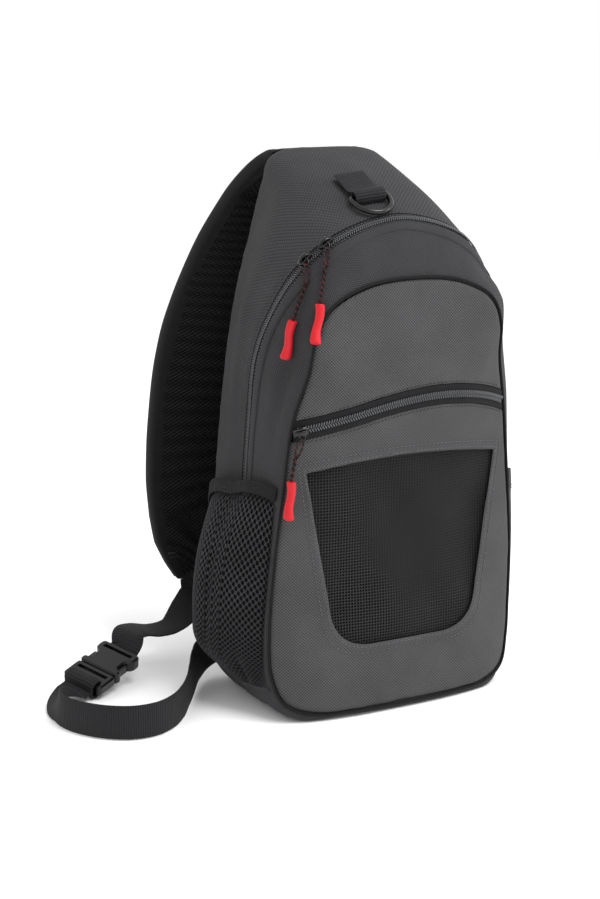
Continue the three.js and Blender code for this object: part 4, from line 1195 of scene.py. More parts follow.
def window_depth(x, z):
    """How far the net hangs in behind the panel, with its soft folds."""
    P = np.stack([x, 0 * x, z], -1)
    folds = 0.9 * noise(P, 34, 71) + 0.5 * np.sin((x * 0.9 + z * 0.35) / 9.5 + noise(P, 60, 5) * 2)
    return 2.1 * folds


def framed_holes(outer, hole, count):
    """Faces between each hole and its frame, and which of the `count` points they use."""
    sides = outer.shape[1]
    faces = np.concatenate([
        np.stack([outer[:, k], outer[:, (k + 1) % sides], hole[:, (k + 1) % sides], hole[:, k]], 1)
        for k in range(sides)])
    used = np.unique(faces)
    renumber = np.full(count, -1)
    renumber[used] = np.arange(len(used))
    return used, renumber[faces]


def make_window_net():
    pitch, bar = 2.2, 0.34
    reach = window_top_half + 6
    xs = np.arange(-reach, reach, pitch)
    zs = np.arange(window_bottom - 6, window_top + 9, pitch)
    gx, gz = np.meshgrid(xs, zs, indexing="ij")
    loop = window_loop(3.2, 720)

    def inside(plan):
        """How far the points of a plan lie inside the edge of the net."""
        x, z = plan[..., 0], plan[..., 1] - WINDOW_MIDDLE[1]
        return rim_distance(loop, WINDOW_MIDDLE, np.arctan2(z, x)) - np.hypot(x, z)

    cells = np.stack([gx[:-1, :-1] + pitch / 2, gz[:-1, :-1] + pitch / 2], -1)
    i, j = np.nonzero(inside(cells) > 0)
    across = len(zs)
    low, high = i * across + j, (i + 1) * across + j
    corner = np.stack([low, high, high + 1, low + 1], 1)
    first = len(xs) * across
    mid = cells[i, j]
    hole_half = pitch / 2 * (1 - bar)
    offsets = np.array([[-1, -1], [1, -1], [1, 1], [-1, 1]]) * hole_half
    hole_plan = (mid[:, None] + offsets).reshape(-1, 2)
    hole = first + np.arange(len(i) * 4).reshape(-1, 4)
    plan = np.vstack([np.stack([gx.ravel(), gz.ravel()], 1), hole_plan])
    used, faces = framed_holes(corner, hole, len(plan))
    plan = plan[used]
    weave = 0.16 * np.sin(plan[:, 0] / pitch * math.pi) * np.sin(plan[:, 1] / pitch * math.pi)
    free = np.clip(inside(plan) / 16, 0, 1)
    hang = np.minimum(window_depth(plan[:, 0], plan[:, 1]), 2.4) * free * (2 - free)
    verts = on_face(plan, hang - 1.3 - 0.8 * free + weave)
    uvs = plan[faces] * MM
    verts, all_faces, all_uvs = shell(verts, [faces], [uvs], 0.5)
    dress(mesh_object("window_net", verts, all_faces, all_uvs, [NET_BLACK]),
          "black_net", "window_mesh")


def make_front_zip():
    path = evenly_open(band_line(0), 300)
    half = front_zip_band / 2 - gap
    for name, low, high, nodes in (("front_zip_tape_low", -half, -0.2, ["front_zip_tape"]),
                                   ("front_zip_tape_high", 0.2, half, [])):
        P = np.stack([on_face(path + [0, low + (high - low) * k], gap + tape_thickness - 0.2)
                      for k in np.linspace(0, 1, 5)])
        dress(cloth_grid(name, P, [TAPE], 1.0), "zip_tape", *nodes)
    line = evenly_open(band_line(0, 0.965), 400)
    pitch = 1.9
    path = resample(on_face(line, gap + tape_thickness + 0.75), pitch)
    plan = path[:, [0, 2]]
    up = face_normals(plan)
    tangent = unit(np.gradient(path, axis=0))
    up = square_to(up, tangent)
    side = np.cross(up, tangent)
    add_teeth("front_zip", path, tangent, side, up, 5.4, pitch)
    rows = []
    for offset in (-front_zip_band / 2 - 1.6, front_zip_band / 2 + 1.8):
        line = evenly_open(band_line(offset, 0.955), 300)
        path = on_face(line, gap + 0.3 + panel_thickness)
        rows.append(stitch_run(path, face_normals(line), 2.0, 3.2, 0.5, 0.4, 0.2))
    joined("front_zip_stitches", rows, THREAD_DARK, "grey_cloth")


def evenly_open(line, count):
    far = distances(line)
    at = np.linspace(0, far[-1], count)
    return between(at, far, line)


make_upper_panel()
make_pocket_panel()
make_window_net()
make_front_zip()


# Side pockets

BAG_CORE = np.array([0, 0, 0.4 * bag_height])
POCKET_ACROSS = ([0, 0.12, 0.3, 0.5, 0.68, 0.84, 1], [0, 0.55, 0.95, 1, 0.8, 0.42, 0])
LEFT_ROWS = ([0, 0.12, 0.28, 0.46, 0.68, 0.88, 1], [0.05, 0.38, 0.88, 1, 1, 0.7, 0.4])
RIGHT_ROWS = ([0, 0.15, 0.5, 0.85, 1], [0.1, 0.7, 1, 0.9, 0.8])
# outline rows of an edge: at the back, at the front, rise in the middle
LEFT_LOW, LEFT_HIGH, LEFT_TOP = (3.6, 3.6, 0), (6.06, 6.9, 0.36), (6.26, 7.08, 0.36)
RIGHT_LOW, RIGHT_HIGH = (3.8, 3.8, 0), (6.5, 6.95, 0)


def eased(x, table):
    """A smooth curve through the table's points."""
    xs, ys = (np.array(v, float) for v in table)
    slopes = np.gradient(ys, xs)
    k = np.clip(np.searchsorted(xs, x, side="right") - 1, 0, len(xs) - 2)
    wide = xs[k + 1] - xs[k]
    w = (x - xs[k]) / wide
    return ((1 + 2 * w) * (1 - w) ** 2 * ys[k] + w * (1 - w) ** 2 * wide * slopes[k]
            + w ** 2 * (3 - 2 * w) * ys[k + 1] + w ** 2 * (w - 1) * wide * slopes[k + 1])


def pocket(c, r, side, table, bulge, low, high, base):
    """A pocket's points at shares c from back to front and r from low to high."""
    c, r = np.broadcast_arrays(np.asarray(c, float), np.asarray(r, float))
    along = -0.96 + 1.89 * c
    start, stop = (back + (front - back) * c + 4 * rise * c * (1 - c)
                   for back, front, rise in (low, high))
    t = place_on(start + (stop - start) * r, side)
    swell = eased(r, table) * eased(c, POCKET_ACROSS)
    blend = np.exp(-(along / 0.22) ** 2)[..., None] / 2
    beside = skin(t, np.maximum(along - 0.14, -1)) + skin(t, np.minimum(along + 0.14, 1))
    foot = skin(t, along) * (1 - blend) + beside * blend / 2
    wide = np.clip(np.stack([along - 0.3, along - 0.1, along + 0.1, along + 0.3]), -0.97, 0.97)
    normal = unit(sum(skin_normal(t, place) for place in wide))
    return foot + normal * (base + bulge * swell)[..., None]


def facing_out(P):
    """Whether a grid's faces have to be turned to point away from the bag's middle."""
    return (grid_normals(P, False) * (P - BAG_CORE)).sum() < 0


def diamond_net(name, place, size, half, radius, thick, material):
    """A knitted net with round holes in diamonds of half-width and half-height `half`."""
    columns, rows = int(size[0] / half[0]), int(size[1] / half[1])
    i, j = np.meshgrid(np.arange(1, columns), np.arange(1, rows), indexing="ij")
    keep = (i + j) % 2 == 0
    i, j = i[keep], j[keep]
    wide, high = columns + 1, rows + 1
    grid_x, grid_y = np.meshgrid(np.arange(wide), np.arange(high), indexing="ij")
    middle_x, middle_y = grid_x + 0.5, grid_y + 0.5
    count = wide * high

    def corner(a, b):
        return (i + a) * high + j + b

    outer = np.stack([corner(1, 0), count + corner(0, 0), corner(0, 1), count + corner(-1, 0),
                      corner(-1, 0), count + corner(-1, -1), corner(0, -1),
                      count + corner(0, -1)], 1)
    turn = full_turn(8)
    hole_x = (i[:, None] * half[0] + radius * np.cos(turn)).ravel()
    hole_y = (j[:, None] * half[1] + radius * np.sin(turn)).ravel()
    hole = 2 * count + np.arange(len(i) * 8).reshape(-1, 8)
    x = np.concatenate([grid_x.ravel() * half[0], middle_x.ravel() * half[0], hole_x])
    y = np.concatenate([grid_y.ravel() * half[1], middle_y.ravel() * half[1], hole_y])
    used, faces = framed_holes(outer, hole, len(x))
    rim = used >= 2 * count
    x, y = x[used], y[used]
    verts = place(np.clip(x / (columns * half[0]), 0, 1), np.clip(y / (rows * half[1]), 0, 1))
    flow = verts - BAG_CORE
    cross = np.cross(verts[faces[:, 2]] - verts[faces[:, 0]],
                     verts[faces[:, 3]] - verts[faces[:, 1]])
    if (cross * flow[faces[:, 0]]).sum() < 0:
        faces = faces[:, ::-1]
        cross = -cross
    normals = np.zeros_like(verts)
    for k in range(4):
        np.add.at(normals, faces[:, k], cross)
    normals = unit(normals)
    verts = verts - normals * (0.28 * rim)[:, None]
    uvs = np.stack([x, y], 1)[faces] * MM
    verts, all_faces, all_uvs = shell(verts, [faces], [uvs], thick, normals)
    return mesh_object(name, verts, all_faces, all_uvs, [material])


def span_of(place):
    k = np.linspace(0, 1, 60)
    across = np.linalg.norm(np.diff(place(k, 0 * k + 0.45), axis=0), axis=1).sum()
    up = np.linalg.norm(np.diff(place(0 * k + 0.55, k), axis=0), axis=1).sum()
    return across, up


def left_surface(c, r, lift=0.0):
    P = pocket(c, r, -1, LEFT_ROWS, left_bulge, LEFT_LOW, LEFT_HIGH, pocket_net - 0.7 + lift)
    normals = unit(P - BAG_CORE)
    inside = np.sin(math.pi * np.clip(c, 0, 1)) * np.sin(math.pi * np.clip(r, 0, 1))
    fold = 5.5 * np.exp(-((c - 0.78 - 0.1 * (r - 0.2)) / 0.035) ** 2 - ((r - 0.14) / 0.13) ** 2)
    crease = 2.2 * np.exp(-((c - 0.42 - 0.12 * r) / 0.05) ** 2) * (1 - r)
    wave = 1.1 * noise(P, 36, 91) * inside
    return P + normals * (wave - fold * inside ** 0.3 - crease * inside)[..., None]


def make_left_pocket():
    net = diamond_net("left_pocket_net", left_surface, span_of(left_surface), (2.5, 2.45),
                      1.62, 0.8, NET_GREY)
    dress(net, "grey_net", "left_pocket")
    # A near-black sheet 1.5 mm under the net: painted shade of the pocket's hollow, seen through
    # the net's holes.
    c, r = square(60, 60, (0.01, 0.99), (0.01, 0.99))
    P = left_surface(c, r, -1.5)
    dress(cloth_grid("left_pocket_shade_sheet", P, [LINING], 0.6, flip=facing_out(P)), "grey_net")

    c, r = square(130, 8, up=(-0.02, 0.03))
    lift = 0.5 * np.sin(np.linspace(0, math.pi, 8)) ** 0.5
    P = left_surface(c, np.maximum(r, 0), 0.2 + lift[:, None])
    P[..., 2] += np.minimum(r, 0) * 60
    hem = cloth_grid("left_pocket_hem", P, [SIDE], 1.0, flip=facing_out(P))
    dress(hem, "side_cloth")

    c, r = square(170, 31)
    edge = ([0.0, 0.5, 1.0], [0.4, 0.384, 0.368])
    start = (LEFT_HIGH[0] + 0.012, LEFT_HIGH[1] + 0.012, LEFT_HIGH[2])
    borders = np.exp(-(r / 0.04) ** 2) + np.exp(-((1 - r) / 0.05) ** 2)
    ribs = 0.35 * np.abs(np.sin(r * math.pi * 6)) - 0.5 * borders
    gather = 0.1 * np.sin(c * 2 * math.pi * 70)
    base = band_thickness + gap + ribs + gather - 0.2
    P = pocket(c, r, -1, edge, left_bulge, start, LEFT_TOP, base)
    band = cloth_grid("left_pocket_elastic", P, [ELASTIC], band_thickness - 0.4, flip=facing_out(P))
    dress(band, "black_webbing", "left_pocket_band")


def right_surface(c, r, lift=0.0):
    P = pocket(c, r, 1, RIGHT_ROWS, right_bulge, RIGHT_LOW, RIGHT_HIGH, pocket_net - 0.7 + lift)
    normals = unit(P - BAG_CORE)
    inside = np.sin(math.pi * np.clip(c, 0, 1)) * np.sin(math.pi * np.clip(r, 0, 1))
    return P + normals * (0.9 * noise(P, 42, 17) * inside)[..., None]


def make_right_pocket():
    c, r = square(76, 76)
    hem = np.clip((r - 0.9) / 0.015, 0, 1) - np.clip((r - 0.985) / 0.03, 0, 1) * 0.6
    P = right_surface(c, r, 0.55 * hem)
    piece = cloth_grid("right_pocket_cloth", P, [SIDE], 1.2, flip=facing_out(P))
    dress(piece, "side_cloth", "right_pocket")
    rows = []
    for level in (0.912, 0.925):
        c = np.linspace(0.01, 0.99, 200)
        path = right_surface(c, 0 * c + level, 0.75)
        rows.append(stitch_run(path, unit(path - BAG_CORE), 2.2, 3.3, 0.55, 0.5, 0.0))
    joined("right_pocket_stitches", rows, THREAD, "side_cloth")


make_left_pocket()
make_right_pocket()


# Shoulder strap: padded body, spacer lining, bindings, end patch

# across, behind, up, width, thickness
STRAP = np.array([
    [0.0, 0.045, 0.992, 0.88, 0.45], [0.0, 0.16, 0.99, 0.9, 0.6], [0.0, 0.31, 0.978, 0.92, 0.8],
    [0.04, 0.48, 0.955, 0.95, 0.95], [0.125, 0.66, 0.911, 0.97, 1.0],
    [0.265, 0.82, 0.834, 0.98, 1.0],
    [0.39, 0.92, 0.747, 0.99, 1.0], [0.488, 0.97, 0.667, 1.0, 1.0], [0.55, 1.0, 0.59, 0.99, 1.0],
    [0.595, 1.0, 0.515, 0.97, 1.0], [0.635, 0.98, 0.438, 0.945, 1.0],
    [0.665, 0.95, 0.365, 0.905, 1.0],
    [0.68, 0.9, 0.294, 0.85, 0.95], [0.69, 0.87, 0.241, 0.745, 0.85],
    [0.69, 0.855, 0.199, 0.57, 0.6],
    [0.685, 0.855, 0.162, 0.36, 0.4],
])
STRAP_LINE = STRAP[:, :3] * [-strap_left, strap_stand_off, bag_height] + [0, back_depth, 0]
STRAP_LENGTH, SPACER_PITCH = 470, 3.3


def strap_at(s):
    """Middle point, tangent, outward direction, half width and thickness at shares of the strap."""
    p = catmull(STRAP_LINE, s, False)
    tangent = unit(catmull(STRAP_LINE, np.minimum(s + 0.002, 1), False)
                   - catmull(STRAP_LINE, np.maximum(s - 0.002, 0), False))
    up = unit(np.cross(np.broadcast_to([1.0, 0, 0], tangent.shape), tangent))
    steps = np.linspace(0, 1, len(STRAP))
    half = strap_width / 2 * np.interp(s, steps, STRAP[:, 3])
    thick = strap_thickness * np.interp(s, steps, STRAP[:, 4])
    return p, tangent, up, half, thick


def strap_points(s, x, lift):
    """Points across the strap at x and raised by lift, arrays of (station, column)."""
    p, _, up, _, _ = strap_at(s)
    return p[:, None] + x[..., None] * np.array([1.0, 0, 0]) + lift[..., None] * up[:, None]


def simulated(piece, pinned, cap, pressure=4.0, frames=20):
    """Lets a closed padded piece swell for a few frames, moves no point further than cap (mm)."""
    group = piece.vertex_groups.new(name="held")
    group.add([int(k) for k in pinned], 1.0, "REPLACE")
    blower = piece.modifiers.new("swell", "CLOTH")
    blower.settings.use_pressure = True
    blower.settings.uniform_pressure_force = pressure
    blower.settings.vertex_group_mass = "held"
    blower.settings.effector_weights.gravity = 0
    blower.settings.quality = 6
    blower.collision_settings.use_collision = False
    blower.collision_settings.use_self_collision = False
    count = len(piece.data.vertices)
    rest = np.empty(count * 3, np.float32)
    piece.data.vertices.foreach_get("co", rest)
    for frame_number in range(1, frames + 1):
        scene.frame_set(frame_number)
    grown = piece.evaluated_get(bpy.context.evaluated_depsgraph_get()).data
    moved = np.empty(count * 3, np.float32)
    grown.vertices.foreach_get("co", moved)
    step = (moved - rest).reshape(-1, 3)
    far = np.linalg.norm(step, axis=1, keepdims=True)
    step = step * np.minimum(1, cap * MM / np.maximum(far, 1e-9))
    piece.modifiers.remove(blower)
    piece.data.vertices.foreach_set("co", rest + step.astype(np.float32).ravel())
    piece.data.update()
    scene.frame_set(1)


def finer(piece, levels=1):
    smooth = piece.modifiers.new("smooth", "SUBSURF")
    smooth.levels = smooth.render_levels = levels
    return piece


def make_strap():
    make_padding()
    make_lining()
    for sign, label in ((-1, "left"), (1, "right")):
        make_binding(sign, label)
    make_end_patch()


def make_padding():
    stations = np.linspace(0.002, 0.985, 104)
    p, _, _, half, thick = strap_at(stations)
    pad_half = half - binding_width - 3 * gap
    turn = full_turn(40)
    round_x = powered(np.cos(turn), 0.55)
    round_z = powered(np.sin(turn), 0.75)
    x = pad_half[:, None] * round_x
    lift = (0.44 * thick)[:, None] * round_z * (1 - 0.25 * round_x ** 4)
    P = strap_points(stations, x, lift)
    faces, uvs = grid_faces(P, True, arc_uv(P, True))
    rows, sides = P.shape[:2]
    count = rows * sides
    verts = np.vstack([P.reshape(-1, 3), p[:1], p[-1:]])
    fans = end_fans(sides, count)
    pad = mesh_object("strap_padding", verts, [faces, fans], [uvs, np.zeros((len(fans), 3, 2))],
                      [GREY])
    edge = np.abs(round_x) > 0.93
    held = [r * sides + k for r in range(rows) for k in range(sides)
            if edge[k] or r in (0, rows - 1)]
    simulated(pad, held + [count, count + 1], 3.2)
    dress(finer(pad), "grey_cloth", "strap_pad")


def make_lining():
    stations = np.linspace(0.004, 0.975, 380)
    _, _, up, half, thick = strap_at(stations)
    c = np.linspace(-1, 1, 66)
    x = (half - 3.0)[:, None] * c
    crown = 1.4 * (1 - c ** 2)[None] + 0 * x
    far = stations[:, None] * STRAP_LENGTH
    ribs = np.sin((far * 0.86 + x * 0.62) * 2 * math.pi / SPACER_PITCH)
    links = np.sin((far * 0.5 - x * 0.9) * 2 * math.pi / SPACER_PITCH)
    relief = 0.28 * np.clip(ribs + 0.35 * links, -1, 1)
    lift = -(thick / 2 + 2 * gap + lining_thickness)[:, None] - crown - relief + 0.3
    P = strap_points(stations, x, lift)
    flip = (grid_normals(P, False) * -up[:, None]).sum() >= 0
    lining = cloth_grid("strap_spacer_lining", P, [SPACER], 1.2, flip=flip, sharp=80)
    dress(lining, "black_net", "strap_lining")


def binding_faces(thick):
    """Heights of the two faces of a binding, on the lining and on the padded side."""
    return -thick / 2 - 3.1, thick / 2 + 0.5


def binding_section():
    """A folded binding from one face to the other: across (inwards negative), height share."""
    turn = np.linspace(-math.pi / 2, math.pi / 2, 9)
    arc = np.stack([2.0 * np.cos(turn) - 2.0, np.sin(turn)], 1)
    lap = np.array([[-9.6, -0.93], [-9.4, -1.0], [-7.0, -1.02], [-4.0, -1.03]])
    return np.vstack([lap, arc, lap[::-1] * [1, -1]])


def make_binding(sign, label):
    stations = np.linspace(0.03, 0.985, 240)
    sink = 5.5 * np.clip(1 - stations / 0.16, 0, 1) ** 1.3
    _, _, up, half, thick = strap_at(stations)
    section = binding_section()
    low, high = binding_faces(thick)
    middle, tall = (low + high) / 2, (high - low) / 2
    width = np.minimum(1, half / 22)
    x = sign * (half[:, None] + section[None, :, 0] * width[:, None])
    lift = (middle - sink)[:, None] + tall[:, None] * section[None, :, 1]
    P = strap_points(stations, x, lift)
    P = P + 0.25 * noise(P, 16, 61)[..., None] * up[:, None]
    normals = grid_normals(P, False)
    out = P - strap_points(stations, sign * (half - 8)[:, None] + 0 * x, middle[:, None] + 0 * x)
    piece = cloth_grid(f"strap_binding_{label}_edge", P, [BINDING], 0.9,
                       flip=(normals * out).sum() > 0, sharp=70)
    dress(piece, "black_webbing", f"strap_binding_{label}")
    rows = []
    for face in (-1, 1):
        x = (sign * (half - 8.2 * width))[:, None]
        lift = (np.where(face < 0, low - 0.1, high + 0.1) - sink)[:, None]
        path = strap_points(stations, x, lift)[:, 0]
        rows.append(stitch_run(path, up * face, 2.3, 3.3, 0.55, 0.45, 0.1))
    joined(f"strap_stitches_{label}", rows, THREAD_DARK, "black_webbing")


def make_end_patch():
    stations = np.linspace(0.885, 1.0, 34)
    _, _, up, half, thick = strap_at(stations)
    low, high = binding_faces(thick)
    turn = full_turn(48)
    round_x = powered(np.cos(turn), 0.3)
    round_z = powered(np.sin(turn), 0.6)
    close = np.clip((stations - 0.96) / 0.04, 0, 1)
    tall = (high - low) / 2 + 0.7 - 1.2 * close
    x = (half + 0.7 - 1.0 * close)[:, None] * round_x
    lift = ((low + high) / 2)[:, None] * (1 - close[:, None]) + tall[:, None] * round_z
    P = strap_points(stations, x, lift)
    verts, faces, uvs = tube_of(P)
    dress(mesh_object("strap_end_patch", verts, faces, uvs, [WEBBING], sharp=70), "black_webbing")
    rows = []
    for s0 in (0.9, 0.915):
        k = np.linspace(-0.9, 0.9, 30)
        for face in (-1, 1):
            p, _, up, half, thick = strap_at(np.array([s0]))
            level = (thick / 2 + (0.5 if face > 0 else 3.1) + 0.75) * face
            path = p + (half[:, None] * k[:, None]) * np.array([1.0, 0, 0]) + up * level
            rows.append(stitch_run(path, np.repeat(up * face, 30, 0), 2.0, 3.0, 0.6, 0.5, 0.1))
    joined("strap_end_stitches", rows, THREAD, "black_webbing")


def tube_of(P):
    """Vertices, faces and UVs of a closed tube through the grid's rows, with fans at both ends."""
    rows, count = P.shape[:2]
    faces, uvs = grid_faces(P, True, arc_uv(P, True))
    fans = end_fans(count, rows * count)
    verts = np.vstack([P.reshape(-1, 3), P[0].mean(0)[None], P[-1].mean(0)[None]])
    return verts, [faces, fans], [uvs, np.zeros((len(fans), 3, 2))]


make_strap()


# Webbing and buckle

BUCKLE_CENTRE = np.array([-180.0, 68, 15])
BUCKLE_FORWARD = unit(np.array([-0.871, -0.441, -0.217]))
BUCKLE_FACE = np.array([-0.084, -0.302, 0.95])
BUCKLE_FACE = unit(BUCKLE_FACE - BUCKLE_FORWARD * (BUCKLE_FACE @ BUCKLE_FORWARD))
BUCKLE_SIDE = unit(np.cross(BUCKLE_FACE, BUCKLE_FORWARD))
BUCKLE = np.stack([BUCKLE_FORWARD, BUCKLE_SIDE, BUCKLE_FACE])


def in_buckle(x, y, z):
    return BUCKLE_CENTRE + np.array([x, y, z], float) @ BUCKLE


def upper_places():
    end = STRAP_LINE[-1]
    down = unit(end - catmull(STRAP_LINE, np.array([0.998]), False)[0])
    far = -BUCKLE_SIDE
    return [
        (end + down * 2 * gap, (-1, 0, 0)), (end + down * 13, (-1, 0.15, 0)),
        (end + [-10, -3, -25], (-0.75, 0.66, 0.2)), (end + [-24, -7, -35], (-0.15, 0.95, 0.1)),
        (np.array([-122, 96.5, 28.5]), (-0.05, 0.97, 0.1)),
        (np.array([-137, 94, 32]), (-0.2, 0.95, 0.15)),
        (np.array([-147.5, 88, 32.5]), far),
        (in_buckle(-33, 0, 5), far), (in_buckle(-27.5, 0, 1), far),
    ]


def lower_places():
    floor = [(-235, 6, 13), (-230, -10, 13), (-218, -27, 13), (-200, -39, 13), (-182, -40, 13),
             (-166, -32, 13), (-152, -18, 13), (-139, 0, 13.5)]
    return [
        (in_buckle(24.6, 0, -1), BUCKLE_SIDE), (in_buckle(33.6, 0, -1), BUCKLE_SIDE),
        (np.array([-224, 38, 9.5]), (0.4, -0.6, 0.55)),
        (np.array([-233, 20, 12.8]), (0.15, -0.1, 0.95)),
    ] + [(np.array(p), (0, 0, 1)) for p in floor] + [
        (np.array([-127, 19, 14.5]), (-0.1, 0, 1)), (np.array([-113, 41, 16]), (-0.2, 0, 1)),
        (np.array([-101, 52.8, 19]), (-0.4, 0, 0.9)), (np.array([-88, 51.4, 25]), (-0.5, 0, 0.85)),
    ]


def make_webbing(name, node, places, seed):
    points = np.array([p for p, _ in places], float)
    sides = np.array([s for _, s in places], float)
    s = np.linspace(0, 1, 300)
    path = catmull(points, s, False)
    tangent = unit(np.gradient(path, axis=0))
    steps = np.linspace(0, 1, len(places))
    side = between(s, steps, sides)
    side = square_to(side, tangent)
    up = np.cross(side, tangent)
    half, thick = webbing_width / 2, webbing_thickness / 2
    over = np.array([[-0.985, 0.7], [-0.93, 1], [-0.5, 1.03], [0, 1.03], [0.5, 1.03], [0.93, 1],
                     [0.985, 0.7]])
    section = np.vstack([[[-1, 0]], over, [[1, 0]], over[::-1] * [1, -1]])
    cup = 0.5 * noise(path, 40, seed)
    lift = section[None, :, 1] * thick + cup[:, None] * (1 - section[None, :, 0] ** 2)
    P = path[:, None] + side[:, None] * section[None, :, :1] * half + up[:, None] * lift[..., None]
    low = P[..., 2].min(1)
    P[..., 2] += np.maximum(0.2 - low, 0)[:, None]
    verts, faces, uvs = tube_of(P)
    uvs[0] = uvs[0][..., ::-1]
    faces = [f[:, ::-1] for f in faces]
    uvs = [u[:, ::-1] for u in uvs]
    dress(mesh_object(name, verts, faces, uvs, [WEBBING], sharp=70), "black_webbing", node)


def make_wrap():
    turn = np.linspace(0, math.pi / 2, 7)
    left, right, high, bend = 16.4, 24.2, 5.9, 2.6
    corners = ((right - bend, high - bend, 0), (left + bend, high - bend, math.pi / 2),
               (left + bend, -high + bend, math.pi), (right - bend, -high + bend, 1.5 * math.pi))
    points = [(x + bend * math.cos(start + a), z + bend * math.sin(start + a))
              for x, z, start in corners for a in turn]
    loop = np.array(points)
    edge = np.array([-1, -0.97, -0.5, 0, 0.5, 0.97, 1]) * (webbing_width / 2)
    inset = np.array([0.4, 0, 0, 0, 0, 0, 0.4])
    centre = np.array([(left + right) / 2, 0])
    P = np.empty((len(edge), len(loop), 3))
    for k, y in enumerate(edge):
        shrunk = loop - unit(loop - centre) * inset[k]
        flat = np.stack([shrunk[:, 0], 0 * shrunk[:, 0] + y, shrunk[:, 1]], 1)
        P[k] = BUCKLE_CENTRE + flat @ BUCKLE
    normals = grid_normals(P, True)
    out = P - P.mean((0, 1))
    piece = cloth_grid("adjuster_folded_webbing", P, [WEBBING], webbing_thickness, wrap=True,
                       flip=(normals * out).sum() > 0, sharp=70)
    dress(piece, "black_webbing", "adjuster_wrap")


make_webbing("upper_webbing_band", "upper_webbing", upper_places(), 3)
make_webbing("lower_webbing_band", "lower_webbing", lower_places(), 4)
make_wrap()


# D-ring and its tab on the sloping top

def top_frame():
    t = place_on(12.75, -1)
    middle = skin(t, -0.195)
    up = skin_normal(t, -0.195)
    across = unit(np.array([1.0, 0, 0]) - up * up[0])
    return middle, np.stack([across, np.cross(up, across), up])


TOP_AT, TOP_AXES = top_frame()
RING_HEIGHT = 3.45


def on_top(points):
    return TOP_AT + np.asarray(points, float) @ TOP_AXES


def make_ring_tab():
    bend = ring_wire + 0.5 + webbing_thickness / 2
    turn = np.linspace(1.5 * math.pi, 0.36 * math.pi, 22)
    path = np.vstack([
        [[30, 0.5], [22, 0.5], [14, 0.5], [6, 0.5], [2.5, 0.55]],
        np.stack([bend * np.cos(turn), RING_HEIGHT + bend * np.sin(turn)], 1)[1:],
        [[4.2, 4.6], [7.5, 3.1], [12, 2.3], [18, 2.1], [24, 2.1], [29.5, 2.1], [30.3, 1.8]],
    ])
    flat = np.column_stack([0 * path[:, 0], path])
    path = resample(catmull(flat, np.linspace(0, 1, 160), False), 0.7)[:, 1:]
    tangent = unit(np.gradient(path, axis=0))
    out = np.stack([-tangent[:, 1], tangent[:, 0]], 1)
    centre = path.mean(0)
    edge = np.array([-1, -0.97, -0.5, 0, 0.5, 0.97, 1]) * (tab_width / 2)
    grids = []
    for k, x in enumerate(edge):
        off = webbing_thickness / 2 - (0.35 if k in (0, 6) else 0)
        line = path - out * off if (out * (path - centre)).sum() < 0 else path + out * off
        grids.append(on_top(np.column_stack([0 * line[:, 0] + x, line])))
    P = np.stack(grids)
    normals = grid_normals(P, False)
    away = P - P.mean((0, 1))
    piece = cloth_grid("ring_tab_webbing", P, [WEBBING], webbing_thickness,
                       flip=(normals * away).sum() > 0, sharp=70)
    dress(piece, "black_webbing", "ring_loop")
    side, low, high = 8.3, 12.5, 27.5
    corners = [(-side, low), (side, low), (side, high), (-side, high), (-side, low), (side, high)]
    rows = []
    up = TOP_AXES[2]
    for a, b in [*zip(corners[:5], corners[1:6]), ((side, low), (-side, high))]:
        k = np.linspace(0, 1, 20)[:, None]
        line = np.array(a) * (1 - k) + np.array(b) * k
        height = np.interp(line[:, 1], [12, 18, 28], [2.3, 2.1, 2.1]) + webbing_thickness / 2 + 0.12
        path = on_top(np.column_stack([line, height]))
        rows.append(stitch_run(path, np.tile(up, (20, 1)), 1.9, 2.5, 0.6, 0.5, 0.1))
    joined("ring_tab_stitches", rows, THREAD, "black_webbing")


def make_ring():
    half = ring_width / 2 - ring_wire
    reach = ring_length - 2 * ring_wire - 4
    bow = [(half * math.cos(math.pi * i / 9), -4 - reach * math.sin(math.pi * i / 9))
           for i in range(10)]
    points = [(0, 0), (half * 0.55, 0), (half - 1, 0), (half, -1.4), *bow,
              (-half, -1.4), (-half + 1, 0), (-half * 0.55, 0)]
    flat = np.array([(x, y, RING_HEIGHT) for x, y in points], float)
    path = on_top(catmull(flat, np.linspace(0, 1, 160, endpoint=False), True))
    up = np.tile(TOP_AXES[2], (160, 1))
    verts, faces, uvs = sweep(path, circle(ring_wire, 20), up=up, closed=True)
    piece = mesh_object("d_ring_moulded", verts, faces, uvs, [METAL])
    dress(piece, "black_plastic", "d_ring", body="ring")


make_ring_tab()
make_ring()


# Bails and pull links of the sliders, and the materials of the solids that show

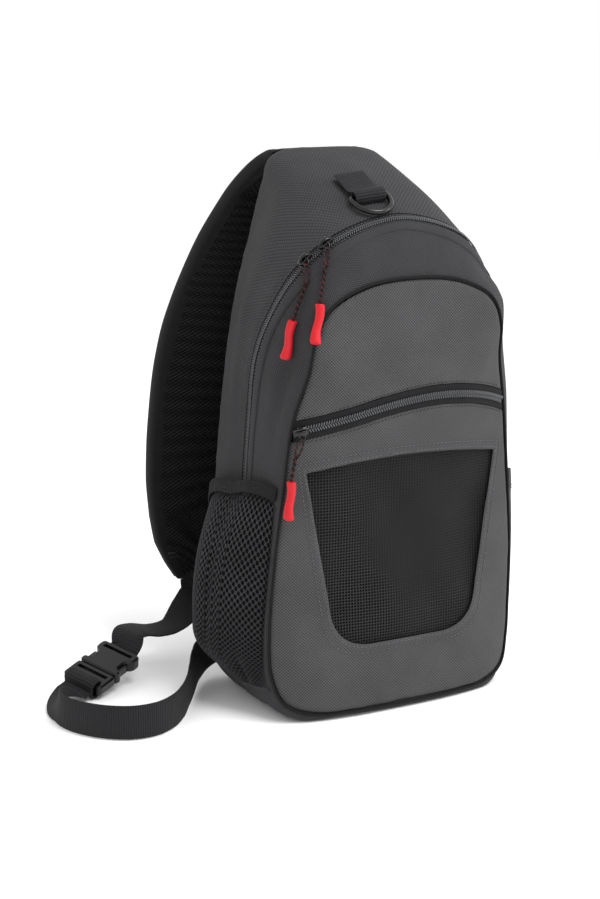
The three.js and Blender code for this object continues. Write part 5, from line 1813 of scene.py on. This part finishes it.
def make_slider_trim(name, at, axes, side):
    reach = 0.38 * slider_width + pull_cord_radius + gap
    k = np.linspace(0, 1, 26)
    arch = slider_height - 0.2 + 1.9 * np.sin(math.pi * k) ** 0.6
    flat = np.stack([-4.2 + 8.4 * k, 0 * k, arch], 1)
    path = at + flat @ axes
    section = circle(1, 10) * [1.5, 0.5]
    parts = [sweep(path, section, up=np.tile(axes[2], (26, 1)))]
    turn = full_turn(40)
    across = side * (reach / 2 + 0.3 - (reach / 2 + 1.0) * np.cos(turn))
    ring = np.stack([0.6 + 2.2 * np.sin(turn), across,
                     slider_height + 0.4 - 1.0 * (1 - np.cos(turn))], 1)
    up = np.tile(axes[2], (len(ring), 1))
    parts.append(sweep(at + ring @ axes, circle(0.55, 8), up=up, closed=True))
    joined(name + "_bail", parts, METAL, "black_metal")


for pull in PULLS:
    make_slider_trim(pull[0], pull[1][0], pull[1][1], pull[2])


def give(node, material):
    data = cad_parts[node].data
    data.materials.clear()
    data.materials.append(material)


for node in ("buckle_socket", "buckle_plug"):
    give(node, PLASTIC)
for node in ("main_a_slider", "main_b_slider", "front_slider"):
    give(node, METAL)


# Padded back panel

def make_back_pad():
    around, quilted = 72, (150, 262)
    turn = full_turn(around)
    t = np.mod(0.25 - turn / (2 * math.pi), 1)
    edge = catmull(BACK, t, True)
    centre = FACE_CENTRE + 20
    edge = np.stack([edge[:, 0] * 0.86, centre + (edge[:, 2] - FACE_CENTRE - 20) * 0.84], 1)
    middle = np.array([0.0, centre])
    share = np.array([1.0, 1.0, 0.985, 0.95, 0.9, 0.82, 0.74, 0.66,
                      0.58, 0.5, 0.42, 0.34, 0.26, 0.18, 0.1, 0.05])
    front = np.array([0.3, 1.6, 2.8, 3.6, 4.0] + [4.2] * 11)
    plan = middle + (edge[None] - middle) * share[:, None, None]
    x, z = plan[..., 0], plan[..., 1]
    groove = sum(np.exp(-((z - height) / 3.2) ** 2) for height in quilted)
    rise = front[:, None] - 2.2 * groove * np.clip((1 - share) / 0.1, 0, 1)[:, None]
    base = back_depth + back_dome * (1 - np.clip(np.hypot(x / 100, (z - 200) / 210), 0, 1) ** 2)
    P = np.stack([x, base + rise, z], -1)
    bottom = P[0].copy()
    bottom[:, 1] -= 1.5
    P = np.concatenate([bottom[None], P])
    verts, faces, uvs = tube_of(P)
    flat = verts[:, [0, 2]] * MM
    uvs = [flat[f] for f in faces]
    pad = mesh_object("back_pad_spacer", verts, faces, uvs, [SPACER])
    held = list(range(around * 4)) + [k for k in range(around * 4, len(verts) - 2)
                                      if min(abs(verts[k, 2] - height) for height in quilted) < 5]
    simulated(pad, held + [len(verts) - 2], 2.5, pressure=2.0)
    dress(finer(pad, 2), "black_net")


make_back_pad()
